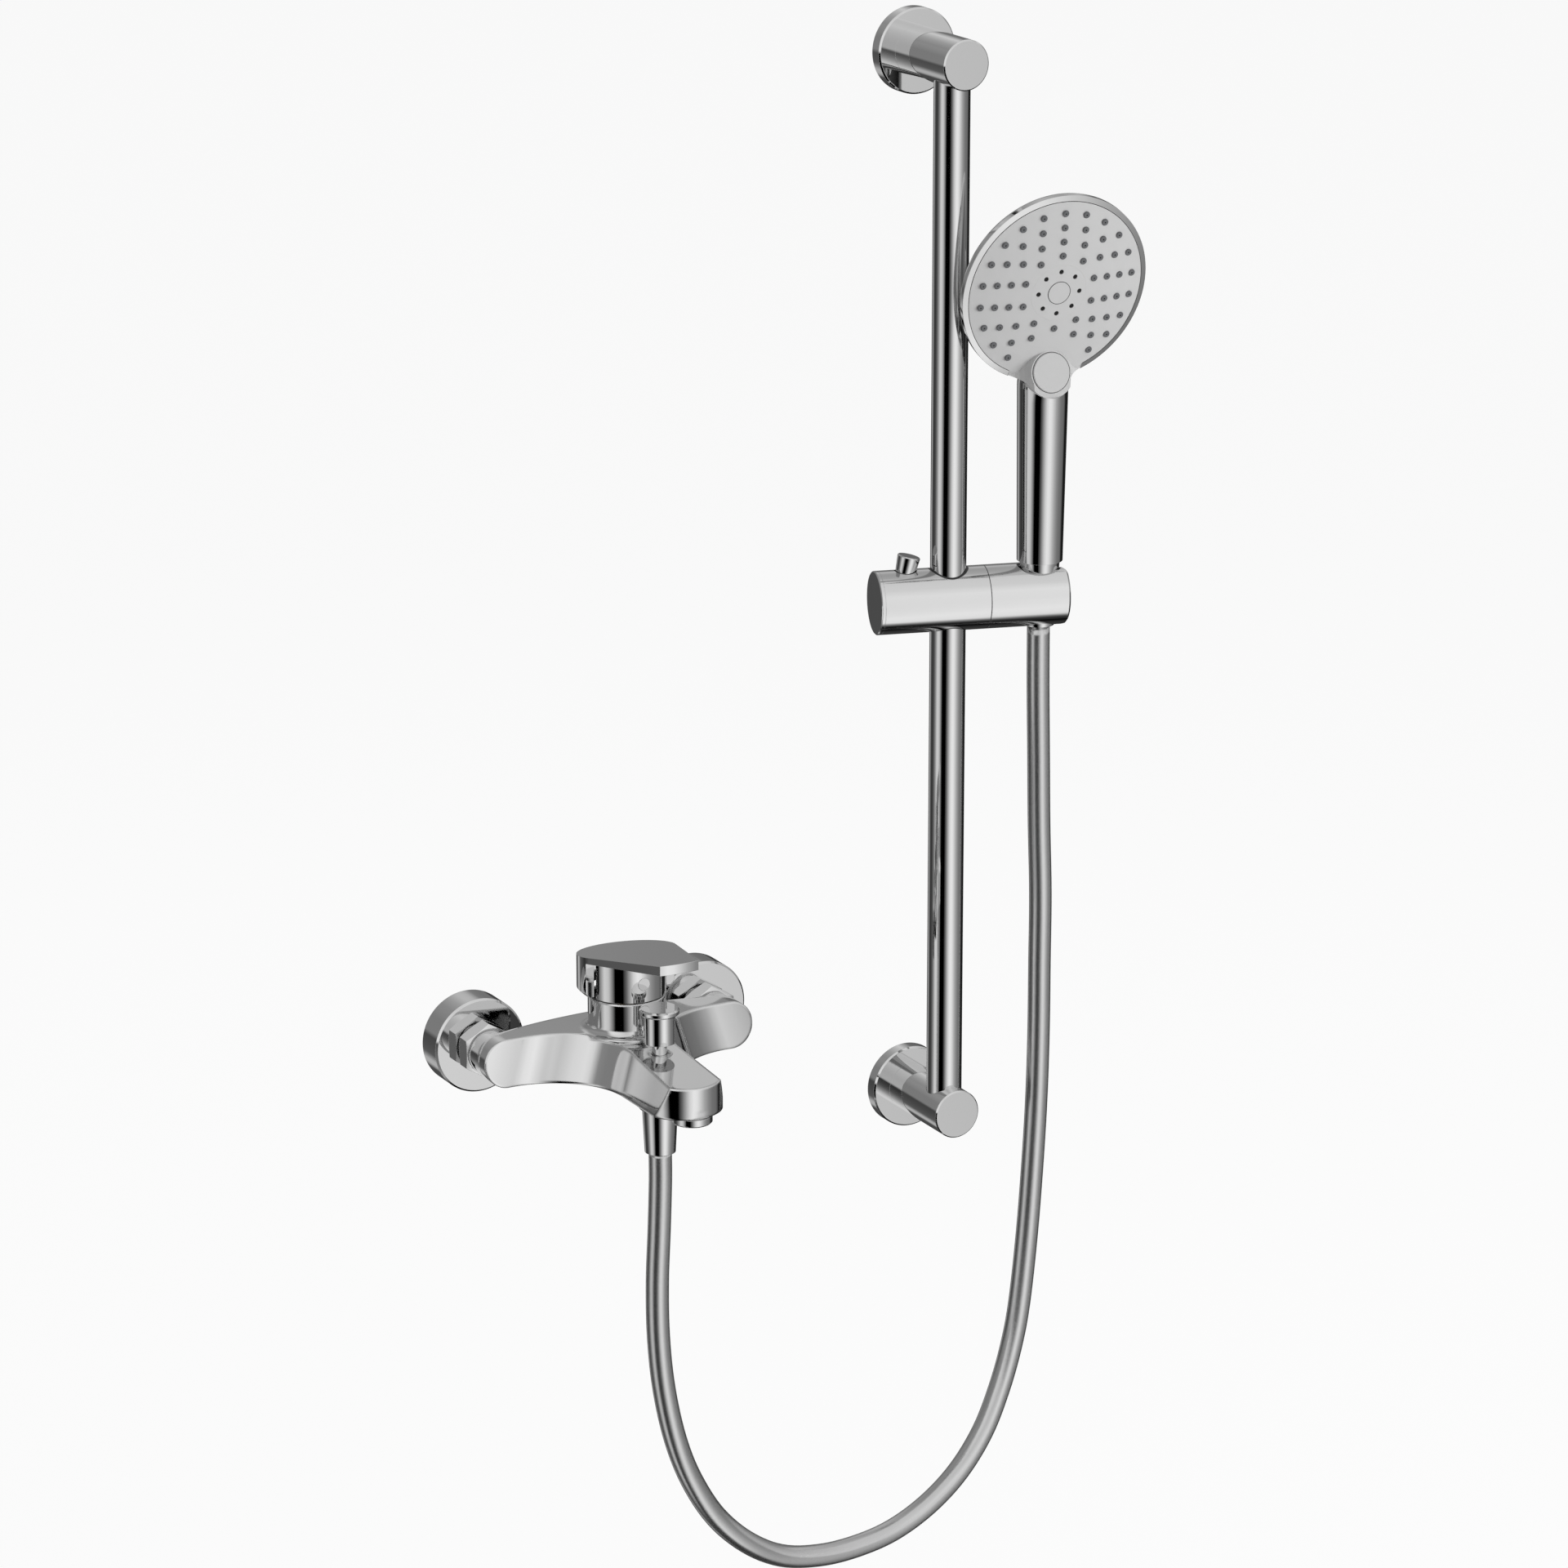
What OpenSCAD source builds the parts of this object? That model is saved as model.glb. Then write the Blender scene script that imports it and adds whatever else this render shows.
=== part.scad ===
// Wall-mounted bath shower mixer with a slide rail, a hose and a hand shower.
// Frame: X along the wall, -Y out of the wall, +Z up, millimetres.
// The origin lies on the wall, midway between the two water inlets.

/* [Wall layout] */
// Distance between the two water inlets
inlet_spacing = 150; // [140:1:160]
// Rail axis to the right of the mixer's middle
rail_x = 227.3; // [210:0.1:260]
// Rail axis from the wall
rail_out = 50.5; // [45:0.5:60]
// Distance between the two rail brackets
bracket_spacing = 654.7; // [600:0.1:750]
// Lower bracket below the inlets
lower_bracket_drop = 80; // [70:1:110]

/* [Rosettes] */
// Rosette diameter
rosette_d = 58.5; // [54:0.5:66]
// Rosette depth
rosette_h = 19.3; // [14:0.1:20]
// Wall thickness of the rosettes and flanges
cup_wall = 1.6; // [1.2:0.1:2.4]
// Chamfer on the rosettes' front edge
rosette_chamfer = 1.2; // [0.6:0.1:1.4]

/* [Wall unions] */
// Tail diameter, a G1/2 pipe thread
tail_d = 20.96; // [20.9:0.01:21]
// Tail length behind the wall
tail_len = 14; // [10:1:20]
// Front thread diameter, a G3/4 pipe thread
union_d = 26.4; // [25:0.1:28]
// Length of the union in front of the wall
union_len = 26; // [25:0.5:28]
// Waterway through the union
union_bore = 15; // [12:0.5:17]
// Washer thickness at each joint of the pipework
washer_t = 2; // [1.5:0.1:2.5]

/* [Union nuts] */
// Width across the flats of the union nut
nut_af = 30; // [29.5:0.1:34]
// Length of the union nut
nut_len = 10.7; // [10:0.1:13]
// Thickness of the nut's inner lip
nut_lip = 2; // [1.5:0.1:2.4]

/* [Inlet nipples] */
// Shank diameter of the inlet nipple
nipple_d = 19; // [17:0.1:19.6]
// Flange thickness of the inlet nipple
nipple_flange = 2.2; // [1.8:0.1:2.6]
// Length of the nipple's thread in the body
nipple_thread = 10; // [8:0.5:12]

/* [Mixer body] */
// Radius of the arms' round ends
arm_r = 14.6; // [14:0.1:18]
// Diameter of the inlet collars behind the arms
collar_d = 27.6; // [26:0.1:28]
// Gap between the union nut and the inlet collar
collar_gap = 0.6; // [0.4:0.1:1]
// Back of the body from the wall, at its middle
body_back = 31.5; // [31:0.5:33]
// Radius of the bowed back
back_bow_r = 260; // [240:5:320]
// Front face of the arms from the wall, at the top
arm_front = 55.5; // [54:0.5:60]
// Lean of the arms' front face, in degrees
arm_draft = 3.5; // [2:0.5:6]
// Radius of the arms' bowed front, in plan
arm_bow_r = 200; // [160:5:300]
// Radius of the sweep from an arm into the spout
sweep_r = 47; // [42:1:50]
// Spout tip from the wall
spout_out = 162; // [156:1:180]
// Half width of the spout's top face
spout_half = 14; // [13:0.5:16]
// Lean of the spout's sides, in degrees
spout_draft = 17; // [12:1:20]
// Height of the spout's face at its tip
spout_tip_top = 4.8; // [4:0.1:7]
// Depth of the spout's underside at its tip
spout_tip_low = 14; // [13:0.1:14.6]
// Radius of the rounded tip in plan
spout_tip_r = 24; // [22:0.5:28]
// Waterway drilled along the arms
arm_channel_d = 7; // [5:0.5:8]
// Waterway drilled along the spout
spout_channel_d = 10; // [8:0.5:11]

/* [Neck] */
// Neck axis from the wall
neck_out = 66; // [64:0.5:70]
// Neck diameter
neck_d = 46.8; // [46:0.1:50]
// Top of the neck
neck_top = 35.5; // [34:0.1:38]
// Radius of the fillet at the neck's foot
foot_r = 4.5; // [4:0.5:8]

/* [Cartridge] */
// Cartridge diameter
cartridge_d = 35; // [34:0.5:36]
// Underside of the cartridge
cartridge_low = -6; // [-7:0.5:-5]
// Shoulder that the locking nut holds down
cartridge_shoulder = 24; // [22:0.5:25]
// Length of the locking nut
lock_nut_h = 7; // [5:0.5:9]
// Collar diameter above the shoulder
cartridge_collar_d = 25.6; // [25:0.1:27]
// Turret diameter
turret_d = 21.8; // [21:0.1:22]
// Top of the turret
turret_top = 35; // [34:0.5:36]
// Thickness of each ceramic disc
disc_t = 4; // [3:0.5:5]
// Underside of the lower ceramic disc
disc_low = 2; // [0:0.5:3]
// Height of the spindle's pivot pin
pivot_z = 24; // [23:0.5:25]
// Diameter of the pivot pin
pivot_d = 4; // [3:0.1:4.5]
// Width of the square spindle
spindle_w = 8; // [7:0.1:8.5]
// Top of the spindle
spindle_top = 53; // [50:0.5:54]
// Length of the spindle below its pivot
spindle_drop = 7; // [6:0.5:8]

/* [Lever] */
// Height of the lever's top face over the neck axis
lever_top = 62.6; // [62:0.1:68]
// Rise of the top face towards the tip, in degrees
lever_slope = 9.4; // [7:0.1:11]
// Reach of the tip from the neck axis
lever_reach = 71; // [62:1:80]
// Width of the tip
lever_tip_w = 25.4; // [22:0.2:30]
// Thickness at the tip
lever_tip_t = 6; // [5:0.2:8]
// Thickness at the rear edge
lever_rear_t = 2.8; // [2.4:0.2:4]
// Radius of the round rear
hood_r = 29.9; // [29:0.1:32]
// Lower edge of the rear hood
hood_low = 38; // [37:0.5:42]
// Where the hood's front faces stand behind the axis
hood_face = -5; // [-7:0.5:-4]
// Chamfer at the hood's lower edge
hood_chamfer = 2.5; // [1:0.5:3]
// Wall thickness of the lever's barrel
barrel_wall = 2.2; // [1.8:0.1:3]
// Ceiling of the hollow in the lever
lever_hollow_top = 55; // [54:0.5:56]
// Lower edge of the boss on the spindle
boss_low = 44; // [43:0.5:46]
// Boss diameter
boss_d = 15; // [14:0.5:17]
// Index plug diameter
plug_d = 7.6; // [6:0.2:9]
// Height of the index plug
plug_z = 47.5; // [46:0.5:49]
// Diameter of the grub screws
grub_d = 5; // [4:0.5:6]
// Lift of the lever, in degrees
lever_lift = 25; // [20:1:26]

/* [Diverter] */
// Diverter axis from the wall
diverter_out = 109; // [105:0.5:115]
// Diameter of the knob's grip
knob_d = 19; // [17:0.5:21]
// Diameter of the knob's head
knob_head_d = 24; // [22:0.5:26]
// Thickness of the knob's head
knob_head_t = 4; // [3:0.5:5]
// Height of the knob's top
knob_top = 38.9; // [37:0.1:42]
// Height of the knob's underside
knob_low = 17.5; // [16:0.5:19]
// Rod diameter
rod_d = 9; // [7:0.5:9.5]
// Guide bush diameter
bush_d = 13; // [12:0.5:14]
// Length of the guide bush
bush_h = 4; // [3:0.5:4.5]
// Valve disc diameter
valve_d = 14; // [13:0.5:15]
// Valve disc thickness
valve_t = 3; // [2.5:0.5:3.5]
// Chamber diameter round the valve
chamber_d = 17; // [16:0.5:18]

/* [Aerator] */
// Aerator axis from the wall
aerator_out = 151; // [146:0.5:151]
// Diameter of the aerator's ring
aerator_d = 24; // [22:0.5:25]
// How far the ring stands below the spout
aerator_drop = 5; // [4:0.5:8]
// Thread diameter in the spout
aerator_thread_d = 20; // [18:0.5:21]
// Thread length in the spout
aerator_thread = 5; // [4:0.5:6]
// Wall of the aerator's ring
aerator_wall = 2; // [1.6:0.1:2.4]
// Diameter of a hole in the aerator
aerator_hole_d = 2.6; // [2:0.1:2.8]
// Step between the aerator's rings of holes
aerator_step = 3.5; // [3.2:0.1:3.6]

/* [Shower outlet] */
// Length of the outlet nipple below the spout
outlet_len = 6.5; // [6:0.5:8]
// Thread length of the outlet nipple in the spout
outlet_thread = 7; // [6:0.5:7.5]
// Waterway through the outlet nipple
outlet_bore = 11; // [9:0.5:13]
// Lower end of the hose nut below the inlets
hose_nut_low = 51; // [48:0.5:56]
// Hose nut diameter at its top
hose_nut_d = 25; // [24:0.2:26]
// Hose nut diameter at the hose
hose_nut_low_d = 18.6; // [18:0.2:20]

/* [Hose] */
// Hose diameter
hose_d = 14; // [12:0.5:15]

/* [Rail] */
// Rail diameter
rail_d = 22; // [20:0.5:24]
// Wall of the rail tube
rail_wall = 1.5; // [1:0.1:2]
// Depth of the rail in each post
rail_seat = 11; // [9:0.5:12]
// Length of the plug in each end of the rail
rail_plug = 12; // [8:1:16]

/* [Brackets] */
// Flange diameter
flange_d = 52.2; // [48:0.5:58]
// Flange depth
flange_h = 8.7; // [8:0.1:10]
// Post diameter
post_d = 30.6; // [30:0.2:34]
// End of the post from the wall
post_out = 67.7; // [66:0.5:76]
// Thickness of the wall plate
plate_t = 4; // [3:0.5:5]
// Wall plate diameter
plate_d = 44; // [40:1:46]
// Boss diameter on the wall plate
plate_boss_d = 18; // [16:0.5:20]
// Reach of that boss from the wall
plate_boss_out = 22; // [20:0.5:24]
// Hole for the wall screw
wall_hole_d = 5.5; // [4.5:0.1:6.5]

/* [Slider] */
// Slider axis above the inlets
slider_z = 246.6; // [200:0.1:300]
// Turn of the slider about the rail, in degrees
slider_yaw = 14.9; // [10:0.1:20]
// Slider diameter
slider_d = 39; // [38:0.5:44]
// Left end from the rail axis
slider_left = 45.9; // [44:0.1:52]
// Right end of the clamp from the rail axis
clamp_right = 22.4; // [21:0.2:25]
// Right end of the holder from the rail axis
holder_right = 72.3; // [71:0.1:76]
// Thickness of the left end cap
end_cap_t = 2.5; // [2:0.5:4]
// Thickness of the slider's bush
liner_t = 1.2; // [1:0.1:1.6]
// Diameter of the brake bore
brake_d = 14; // [13:0.5:15]
// Length of the brake shoe
shoe_len = 24; // [23:0.5:25]
// Button axis from the rail
button_x = 31; // [29:0.5:32]
// Lean of the button towards the rail, in degrees
button_lean = 13; // [8:1:18]
// Diameter of the button's head at its top
button_d = 14; // [12:0.5:15]
// Diameter of the button's head at its foot
button_low_d = 12; // [11:0.5:13]
// Top of the button from the slider axis
button_top = 29; // [27:0.5:31]
// Stem diameter of the button
button_stem_d = 5; // [4:0.5:5.5]
// Travel of the button
button_travel = 2; // [1.5:0.1:2.2]
// How far the button's skirt sits inside the slider
button_sunk = 1.5; // [1:0.1:2]

/* [Holder] */
// Hand shower axis from the rail axis
handset_x = 57.3; // [56:0.1:59]
// Diameter of the tapered seat at its top
seat_d = 24.4; // [23.5:0.1:25]
// Diameter of the tapered seat at its foot
seat_low_d = 19.2; // [18.5:0.1:20]
// Width of the hose slot
slot_w = 15.4; // [15:0.1:16]
// Width of the slot's flared mouth
slot_mouth_w = 22; // [20:0.5:24]
// Axle diameter
axle_d = 10; // [9:0.5:11]
// Reach of the axle into the holder
axle_len = 12; // [10:0.5:13]
// Depth of the axle's seat in the slider
axle_seat = 7; // [6:0.5:8]
// Screw head diameter in the holder
axle_head_d = 8; // [7:0.5:8.5]
// Friction washer thickness
friction_t = 1.2; // [1:0.1:1.6]
// Width of the friction washer round the axle
friction_w = 4; // [3:0.5:5]

/* [Hand shower] */
// Lean of the hand shower towards the user, in degrees
handset_lean = 1; // [0:0.5:5]
// Turn of the hand shower in its seat, in degrees
handset_yaw = 10.5; // [0:0.5:15]
// Lower end of the handle above the slider axis
handle_low = 21.5; // [21:0.1:24]
// Handle diameter at its lower end
handle_low_d = 28; // [27:0.5:30]
// Handle diameter below the head
handle_top_d = 31; // [30:0.5:33]
// Top of the straight handle above the slider axis
handle_top = 130; // [125:1:135]
// Waterway in the handle
handle_bore = 14; // [12:0.5:16]
// Length of the tapered hose nut
cone_nut_len = 40.5; // [40:0.1:42]
// Length of the threaded tail below the handle
tail_out = 10; // [8:0.5:12]

/* [Spray head] */
// Centre of the spray face above the slider axis
face_up = 190.8; // [188:0.1:200]
// Centre of the spray face in front of the handle's axis
face_out = 20.7; // [19:0.1:24]
// Tilt of the spray face, in degrees
face_tilt = 12.7; // [8:0.1:16]
// Diameter of the head
head_d = 120.6; // [118:0.2:124]
// Depth of the rim's edge behind the crown
face_edge = 7.2; // [6.8:0.1:7.6]
// Depth of the head's straight side behind the crown
head_side = 10.5; // [10:0.5:12]
// Depth of the head behind the crown
head_depth = 19; // [18:0.5:22]
// Step of the tongue's root inside the head's rim
face_step = 0.6; // [0.5:0.1:0.8]
// Width of the bevel round the face
bevel_w = 3.5; // [3:0.1:4]
// Radius of the face's crown
face_crown_r = 290; // [260:5:400]
// Thickness of the face plate
face_t = 3; // [2.5:0.1:4]
// Wall of the head's shell
head_wall = 2.4; // [2:0.1:3]
// Radius of the inner ring of nozzles
nozzle_ring_r = 23.7; // [23:0.1:25]
// Step between the rings of nozzles
nozzle_step = 8.67; // [8:0.01:8.8]
// Nozzles in the inner ring
nozzle_count = 10; // [8:1:12]
// Extra nozzles in each further ring
nozzle_more = 4; // [2:1:6]
// Rings of nozzles
nozzle_rings = 4; // [3:1:4]
// Nozzle diameter
nozzle_d = 3; // [2.6:0.1:3.4]
// How far a nozzle stands out of the face
nozzle_out = 0.8; // [0.5:0.1:1.2]
// Radius of the jet ring
jet_ring_r = 13.5; // [13:0.1:14.5]
// Number of jets
jet_count = 8; // [6:1:10]
// Jet diameter
jet_d = 3; // [2.4:0.1:3.4]
// Diameter of the jet insert
jet_insert_d = 36; // [34:0.5:38]
// Centre cap diameter
cap_d = 14.2; // [12:0.1:16]
// Spray button diameter
spray_button_d = 24.4; // [23:0.1:25]
// Diameter of the lobe round the spray button
lobe_d = 31; // [31:0.1:35]
// Width of the bevel round the tongue
lobe_bevel = 3.6; // [3:0.1:4]
// Tilt of the lobe that carries the spray button, in degrees
lobe_tilt = -12; // [-14:0.5:-8]
// Front of that lobe from the handle axis
lobe_out = 11.3; // [11:0.1:13]
// Centre of that lobe above the slider axis
lobe_up = 140.3; // [139:0.1:142]
// Travel of the spray button
spray_travel = 2.5; // [2:0.1:3]

/* [Fits] */
// Radial gap of a piece that stays put
fit_gap = 0.04; // [0.02:0.01:0.1]
// Radial gap of a piece that turns or slides
run_gap = 0.06; // [0.02:0.01:0.1]
// Gap between faces that pass each other
face_gap = 0.4; // [0.3:0.1:0.6]

/* [Hidden] */
$fn = 96;

// Colours of the finishes
chrome = "lightgray";
brass = "darkgoldenrod";
rubber = "dimgray";
plastic = "gainsboro";
acetal = "dimgray";
ceramic = "white";
satin = "silver";
steel = "gray";

// Step of a nut's round end inside its flats
nut_edge = 0.4;
// How far a cutter runs past the face that it cuts
over = 1;
// Thickness of thin inner walls and lips
lip = 2;

// Pipework, as distances from the wall
flange_r = union_d / 2 - face_gap;
nipple_from = union_len + washer_t;
nut_to = nipple_from + nipple_flange + nut_lip;
nut_from = nut_to - nut_len;
collar_from = nut_to + collar_gap;
nipple_to = collar_from + nipple_thread;

// Mixer body
neck_r = neck_d / 2;
cartridge_r = cartridge_d / 2;
sweep_out = arm_front + sweep_r;
low_half = spout_half + 2 * arm_r * tan(spout_draft);
spout_slope = (arm_r - spout_tip_top) / (spout_out - neck_out);
spout_belly = (arm_r - spout_tip_low) / (spout_out - neck_out);
channel_z = -3;
function spout_top_at(out) = arm_r - max(0, out - neck_out) * spout_slope;
function spout_low_at(out) = -arm_r + max(0, out - neck_out) * spout_belly;

// Cartridge
turret_r = turret_d / 2;
control_low = disc_low + disc_t + run_gap;
turret_low = control_low + disc_t;

// Lever, about the neck axis
barrel_r = neck_r;
barrel_low = neck_top + 2 * face_gap;
tip_x = lever_tip_w / 2;
tip_y = -lever_reach + lip;
tip_far = norm([tip_x, tip_y]);
tangent_at = atan2(tip_y, tip_x) + acos(hood_r / tip_far);
function lever_top_at(y) = lever_top - y * tan(lever_slope);

// Diverter and outlet
outlet_top = spout_low_at(diverter_out) + outlet_thread;
outlet_low = spout_low_at(diverter_out) - outlet_len;
bush_top = spout_top_at(diverter_out + bush_d / 2) - run_gap;
seal_t = 1;
valve_low = outlet_top + fit_gap + seal_t;
knob_grip_top = knob_top - knob_head_t;

// Aerator
aerator_top = spout_low_at(aerator_out - aerator_d / 2) - face_gap;
aerator_seat = aerator_top + aerator_thread;

// Rail and brackets
rail_r = rail_d / 2;
post_r = post_d / 2;
lower_z = -lower_bracket_drop;
upper_z = bracket_spacing - lower_bracket_drop;
rail_low = lower_z + post_r - rail_seat;
rail_high = upper_z - post_r + rail_seat;
grub_out = (flange_h + plate_boss_out) / 2;

// Slider, along its own axis from the rail
slider_r = slider_d / 2;
liner_r = rail_r + run_gap + liner_t;
clamp_left = -slider_left + end_cap_t;
brake_r = brake_d / 2;
shoe_right = -liner_r - run_gap;
shoe_left = shoe_right - shoe_len;
spigot = 2;
stem_r = button_stem_d / 2;
button_foot = slider_r - button_sunk;
button_floor = button_foot - button_travel - lip;
stem_tip = 1.5;
holder_left = clamp_right + face_gap;
axle_r = axle_d / 2;
axle_left = clamp_right - axle_seat;
axle_right = clamp_right + axle_len;
friction_r = axle_r + friction_w;
seat_taper = (seat_d - seat_low_d) / slider_d;
function seat_r(z) = seat_low_d / 2 + (z + slider_r) * seat_taper / 2;

// Hand shower, above the slider axis
seat_play = 0.1;
cone_nut_high = handle_low - 2 * run_gap;
cone_nut_low = cone_nut_high - cone_nut_len;
tail_low = cone_nut_high - tail_out;
head_r = head_d / 2;
back_r = head_r / 2;
round_steps = 8;
face_r = head_r - face_step;
crown_drop = 0.7;
edge_t = 1.2;
mat_t = 1.5;
bevel_from = head_r - bevel_w;
crown_steps = nozzle_rings;
crown_radii = [for (i = [0 : crown_steps])
    i == 0 ? jet_insert_d / 2 + fit_gap
    : i == crown_steps ? bevel_from : nozzle_ring_r + (i - 0.5) * nozzle_step];
function crown(r) = -crown_drop - face_crown_r + sqrt(face_crown_r * face_crown_r - r * r);
face_low = crown(bevel_from) - face_t;
ring_low = max(face_low, fit_gap - head_side);
plate_high = face_low - mat_t - fit_gap;
cap_low = -crown_drop - face_t / 2;
lobe_r = lobe_d / 2;
lobe_t = 7;
lobe_depth = 14;
flat_half = lobe_r - lobe_bevel;
spray_r = spray_button_d / 2;
button_t = 5;
ledge_depth = button_t + spray_travel + 1;
cup_depth = ledge_depth + lip;
cup_r = spray_r + lip;
flare_run = 11;
flare_drop = 9.5;
flare_steps = 5;
flare_from = spray_r + lip / 2;
flare_r = flare_from + flare_run;
water_r = 4;
water_back = 5;
nozzle_clear = lobe_r + 6;
lobe_below = (face_up - lobe_up) / cos(face_tilt);
nozzles = [for (i = [0 : nozzle_rings - 1])
    let (n = nozzle_count + i * nozzle_more, r = nozzle_ring_r + i * nozzle_step)
    for (k = [0 : n - 1])
    let (x = r * sin(k * 360 / n), y = r * cos(k * 360 / n))
    if (norm([x, y + lobe_below]) > nozzle_clear) [x, y, r]];

// Route of the hose from the shower outlet to the tapered nut, chosen by hand
hose_route = [
    [0, -109, -70], [-1, -109, -100], [-2, -108, -135], [-1, -107, -170], [3, -106, -205],
    [11, -105, -240], [23, -103, -270], [41, -100, -299], [64, -97, -322], [90, -93, -338],
    [118, -90, -345], [146, -87, -346], [174, -84, -342], [201, -81, -331], [225, -77, -315],
    [244, -74, -293], [257, -72, -267], [266, -71, -240], [272, -70, -213], [278, -68, -170],
    [282, -67, -125], [285, -66, -80], [286, -66, -35], [286, -66, 10], [286, -66, 55],
    [285, -65, 100], [284, -65, 145], [283, -65, 190]
];
hose_sides = 12;
hose_from = [0, -diverter_out, -hose_nut_low];
hose_to = handset_point(cone_nut_low - face_gap);
hose_points = concat([hose_from], hose_route, [hose_to]);

// A point of the hand shower's axis, in the frame of the part
function handset_point(z) =
    let (x = handset_x, y = -z * sin(handset_lean), up = z * cos(handset_lean))
    [rail_x + x * cos(slider_yaw) + y * sin(slider_yaw),
     -rail_out - x * sin(slider_yaw) + y * cos(slider_yaw), slider_z + up];
function unit(v) = v / norm(v);
function tangent(p, i) = unit(p[min(i + 1, len(p) - 1)] - p[max(i - 1, 0)]);
function end_tangent(p, i) =
    i == 0 ? [0, 0, -1] : i == len(p) - 1 ? [0, 0, 1] : tangent(p, i);
function ring(c, t, r) =
    let (u = unit(cross([0, 1, 0], t)), v = cross(t, u))
    [for (k = [0 : hose_sides - 1])
        c + r * (cos(k * 360 / hose_sides) * u + sin(k * 360 / hose_sides) * v)];

// A closed tube swept along a list of points
module tube(p, r) {
    n = hose_sides;
    last = (len(p) - 1) * n;
    rings = [for (i = [0 : len(p) - 1]) each ring(p[i], end_tangent(p, i), r)];
    sides = [for (i = [0 : len(p) - 2], k = [0 : n - 1], half = [0, 1])
        let (a = i * n + k, b = i * n + (k + 1) % n)
        half == 0 ? [a, b, b + n] : [a, b + n, a + n]];
    ends = [for (k = [1 : n - 2]) each [[0, k + 1, k], [last, last + k, last + k + 1]]];
    polyhedron(rings, concat(sides, ends));
}

// Round bar that points out of the wall
module out_rod(r, from, to, r_end = undef) {
    translate([0, -from, 0]) rotate([90, 0, 0])
        cylinder(h = to - from, r1 = r, r2 = is_undef(r_end) ? r : r_end);
}

// Round bar along X
module x_rod(r, from, to, r_end = undef) {
    translate([from, 0, 0]) rotate([0, 90, 0])
        cylinder(h = to - from, r1 = r, r2 = is_undef(r_end) ? r : r_end);
}

// Upright bar
module z_rod(r, low, high, r_end = undef) {
    translate([0, 0, low]) cylinder(h = high - low, r1 = r, r2 = is_undef(r_end) ? r : r_end);
}

// Upright ring
module z_ring(r_in, r_out, low, high) {
    difference() {
        z_rod(r_out, low, high);
        z_rod(r_in, low - over, high + over);
    }
}

// Outline in the Y-Z plane, given as [y, z] points and drawn across X
module side_slab(points, width) {
    rotate([90, 0, 90]) linear_extrude(width, center = true) polygon(points);
}

module at_left() translate([-inlet_spacing / 2, 0, 0]) children();
module at_right() translate([inlet_spacing / 2, 0, 0]) children();
module at_neck() translate([0, -neck_out, 0]) children();
module at_diverter() translate([0, -diverter_out, 0]) children();
module at_aerator() translate([0, -aerator_out, 0]) children();
module at_rail() translate([rail_x, -rail_out, 0]) children();
module at_bracket(z) translate([rail_x, 0, z]) children();
module at_slider() translate([rail_x, -rail_out, slider_z]) rotate([0, 0, -slider_yaw]) children();
module at_button() at_slider() translate([-button_x, 0, 0]) rotate([0, button_lean, 0]) children();
module at_holder() at_slider() rotate([handset_lean, 0, 0]) children();
module at_handset() at_holder() translate([handset_x, 0, 0]) rotate([0, 0, handset_yaw]) children();
module at_face() translate([0, -face_out, face_up]) rotate([90 + face_tilt, 0, 0]) children();
module at_lobe() translate([0, -lobe_out, lobe_up]) rotate([90 + lobe_tilt, 0, 0]) children();

// Pipework at the wall

module rosette() {
    r = rosette_d / 2;
    color(chrome) difference() {
        union() {
            out_rod(r, 0, rosette_h - rosette_chamfer);
            out_rod(r, rosette_h - rosette_chamfer, rosette_h, r - rosette_chamfer);
        }
        out_rod(r - cup_wall, -over, rosette_h - cup_wall);
        out_rod(union_d / 2 + fit_gap, -over, rosette_h + over);
    }
}

module wall_union() {
    color(chrome) difference() {
        union() {
            out_rod(tail_d / 2, -tail_len, 0);
            out_rod(union_d / 2, 0, union_len);
        }
        out_rod(union_bore / 2, -tail_len - over, union_len + over);
    }
}

module union_nut() {
    corner_r = nut_af / 2 / cos(30);
    end_r = nut_af / 2 - nut_edge;
    bevel = (corner_r - end_r) / 2;
    color(chrome) difference() {
        intersection() {
            translate([0, -nut_from, 0]) rotate([90, 0, 0]) rotate([0, 0, 30])
                cylinder(h = nut_len, r = corner_r, $fn = 6);
            translate([0, -nut_from, 0]) rotate([90, 0, 0]) rotate_extrude()
                polygon([[0, 0], [end_r, 0], [corner_r + over, bevel],
                    [corner_r + over, nut_len - bevel], [end_r, nut_len], [0, nut_len]]);
        }
        out_rod(union_d / 2 + fit_gap, nut_from - over, nut_to - nut_lip);
        out_rod(nipple_d / 2 + fit_gap, nut_from, nut_to + over);
    }
}

module inlet_nipple() {
    color(chrome) difference() {
        union() {
            out_rod(flange_r, nipple_from, nipple_from + nipple_flange);
            out_rod(nipple_d / 2, nipple_from, nipple_to);
        }
        out_rod(union_bore / 2, nipple_from - over, nipple_to + over);
    }
}

module washer() {
    color(rubber) difference() {
        out_rod(flange_r, union_len, nipple_from);
        out_rod(union_bore / 2, union_len - over, nipple_from + over);
    }
}

module left_rosette() at_left() rosette();
module right_rosette() at_right() rosette();
module left_wall_union() at_left() wall_union();
module right_wall_union() at_right() wall_union();
module left_union_nut() at_left() union_nut();
module right_union_nut() at_right() union_nut();
module inlet_nipples() {
    at_left() inlet_nipple();
    at_right() inlet_nipple();
}
module inlet_washers() {
    at_left() washer();
    at_right() washer();
}

// Mixer body: a casting whose arms sweep forward into one spout

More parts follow.
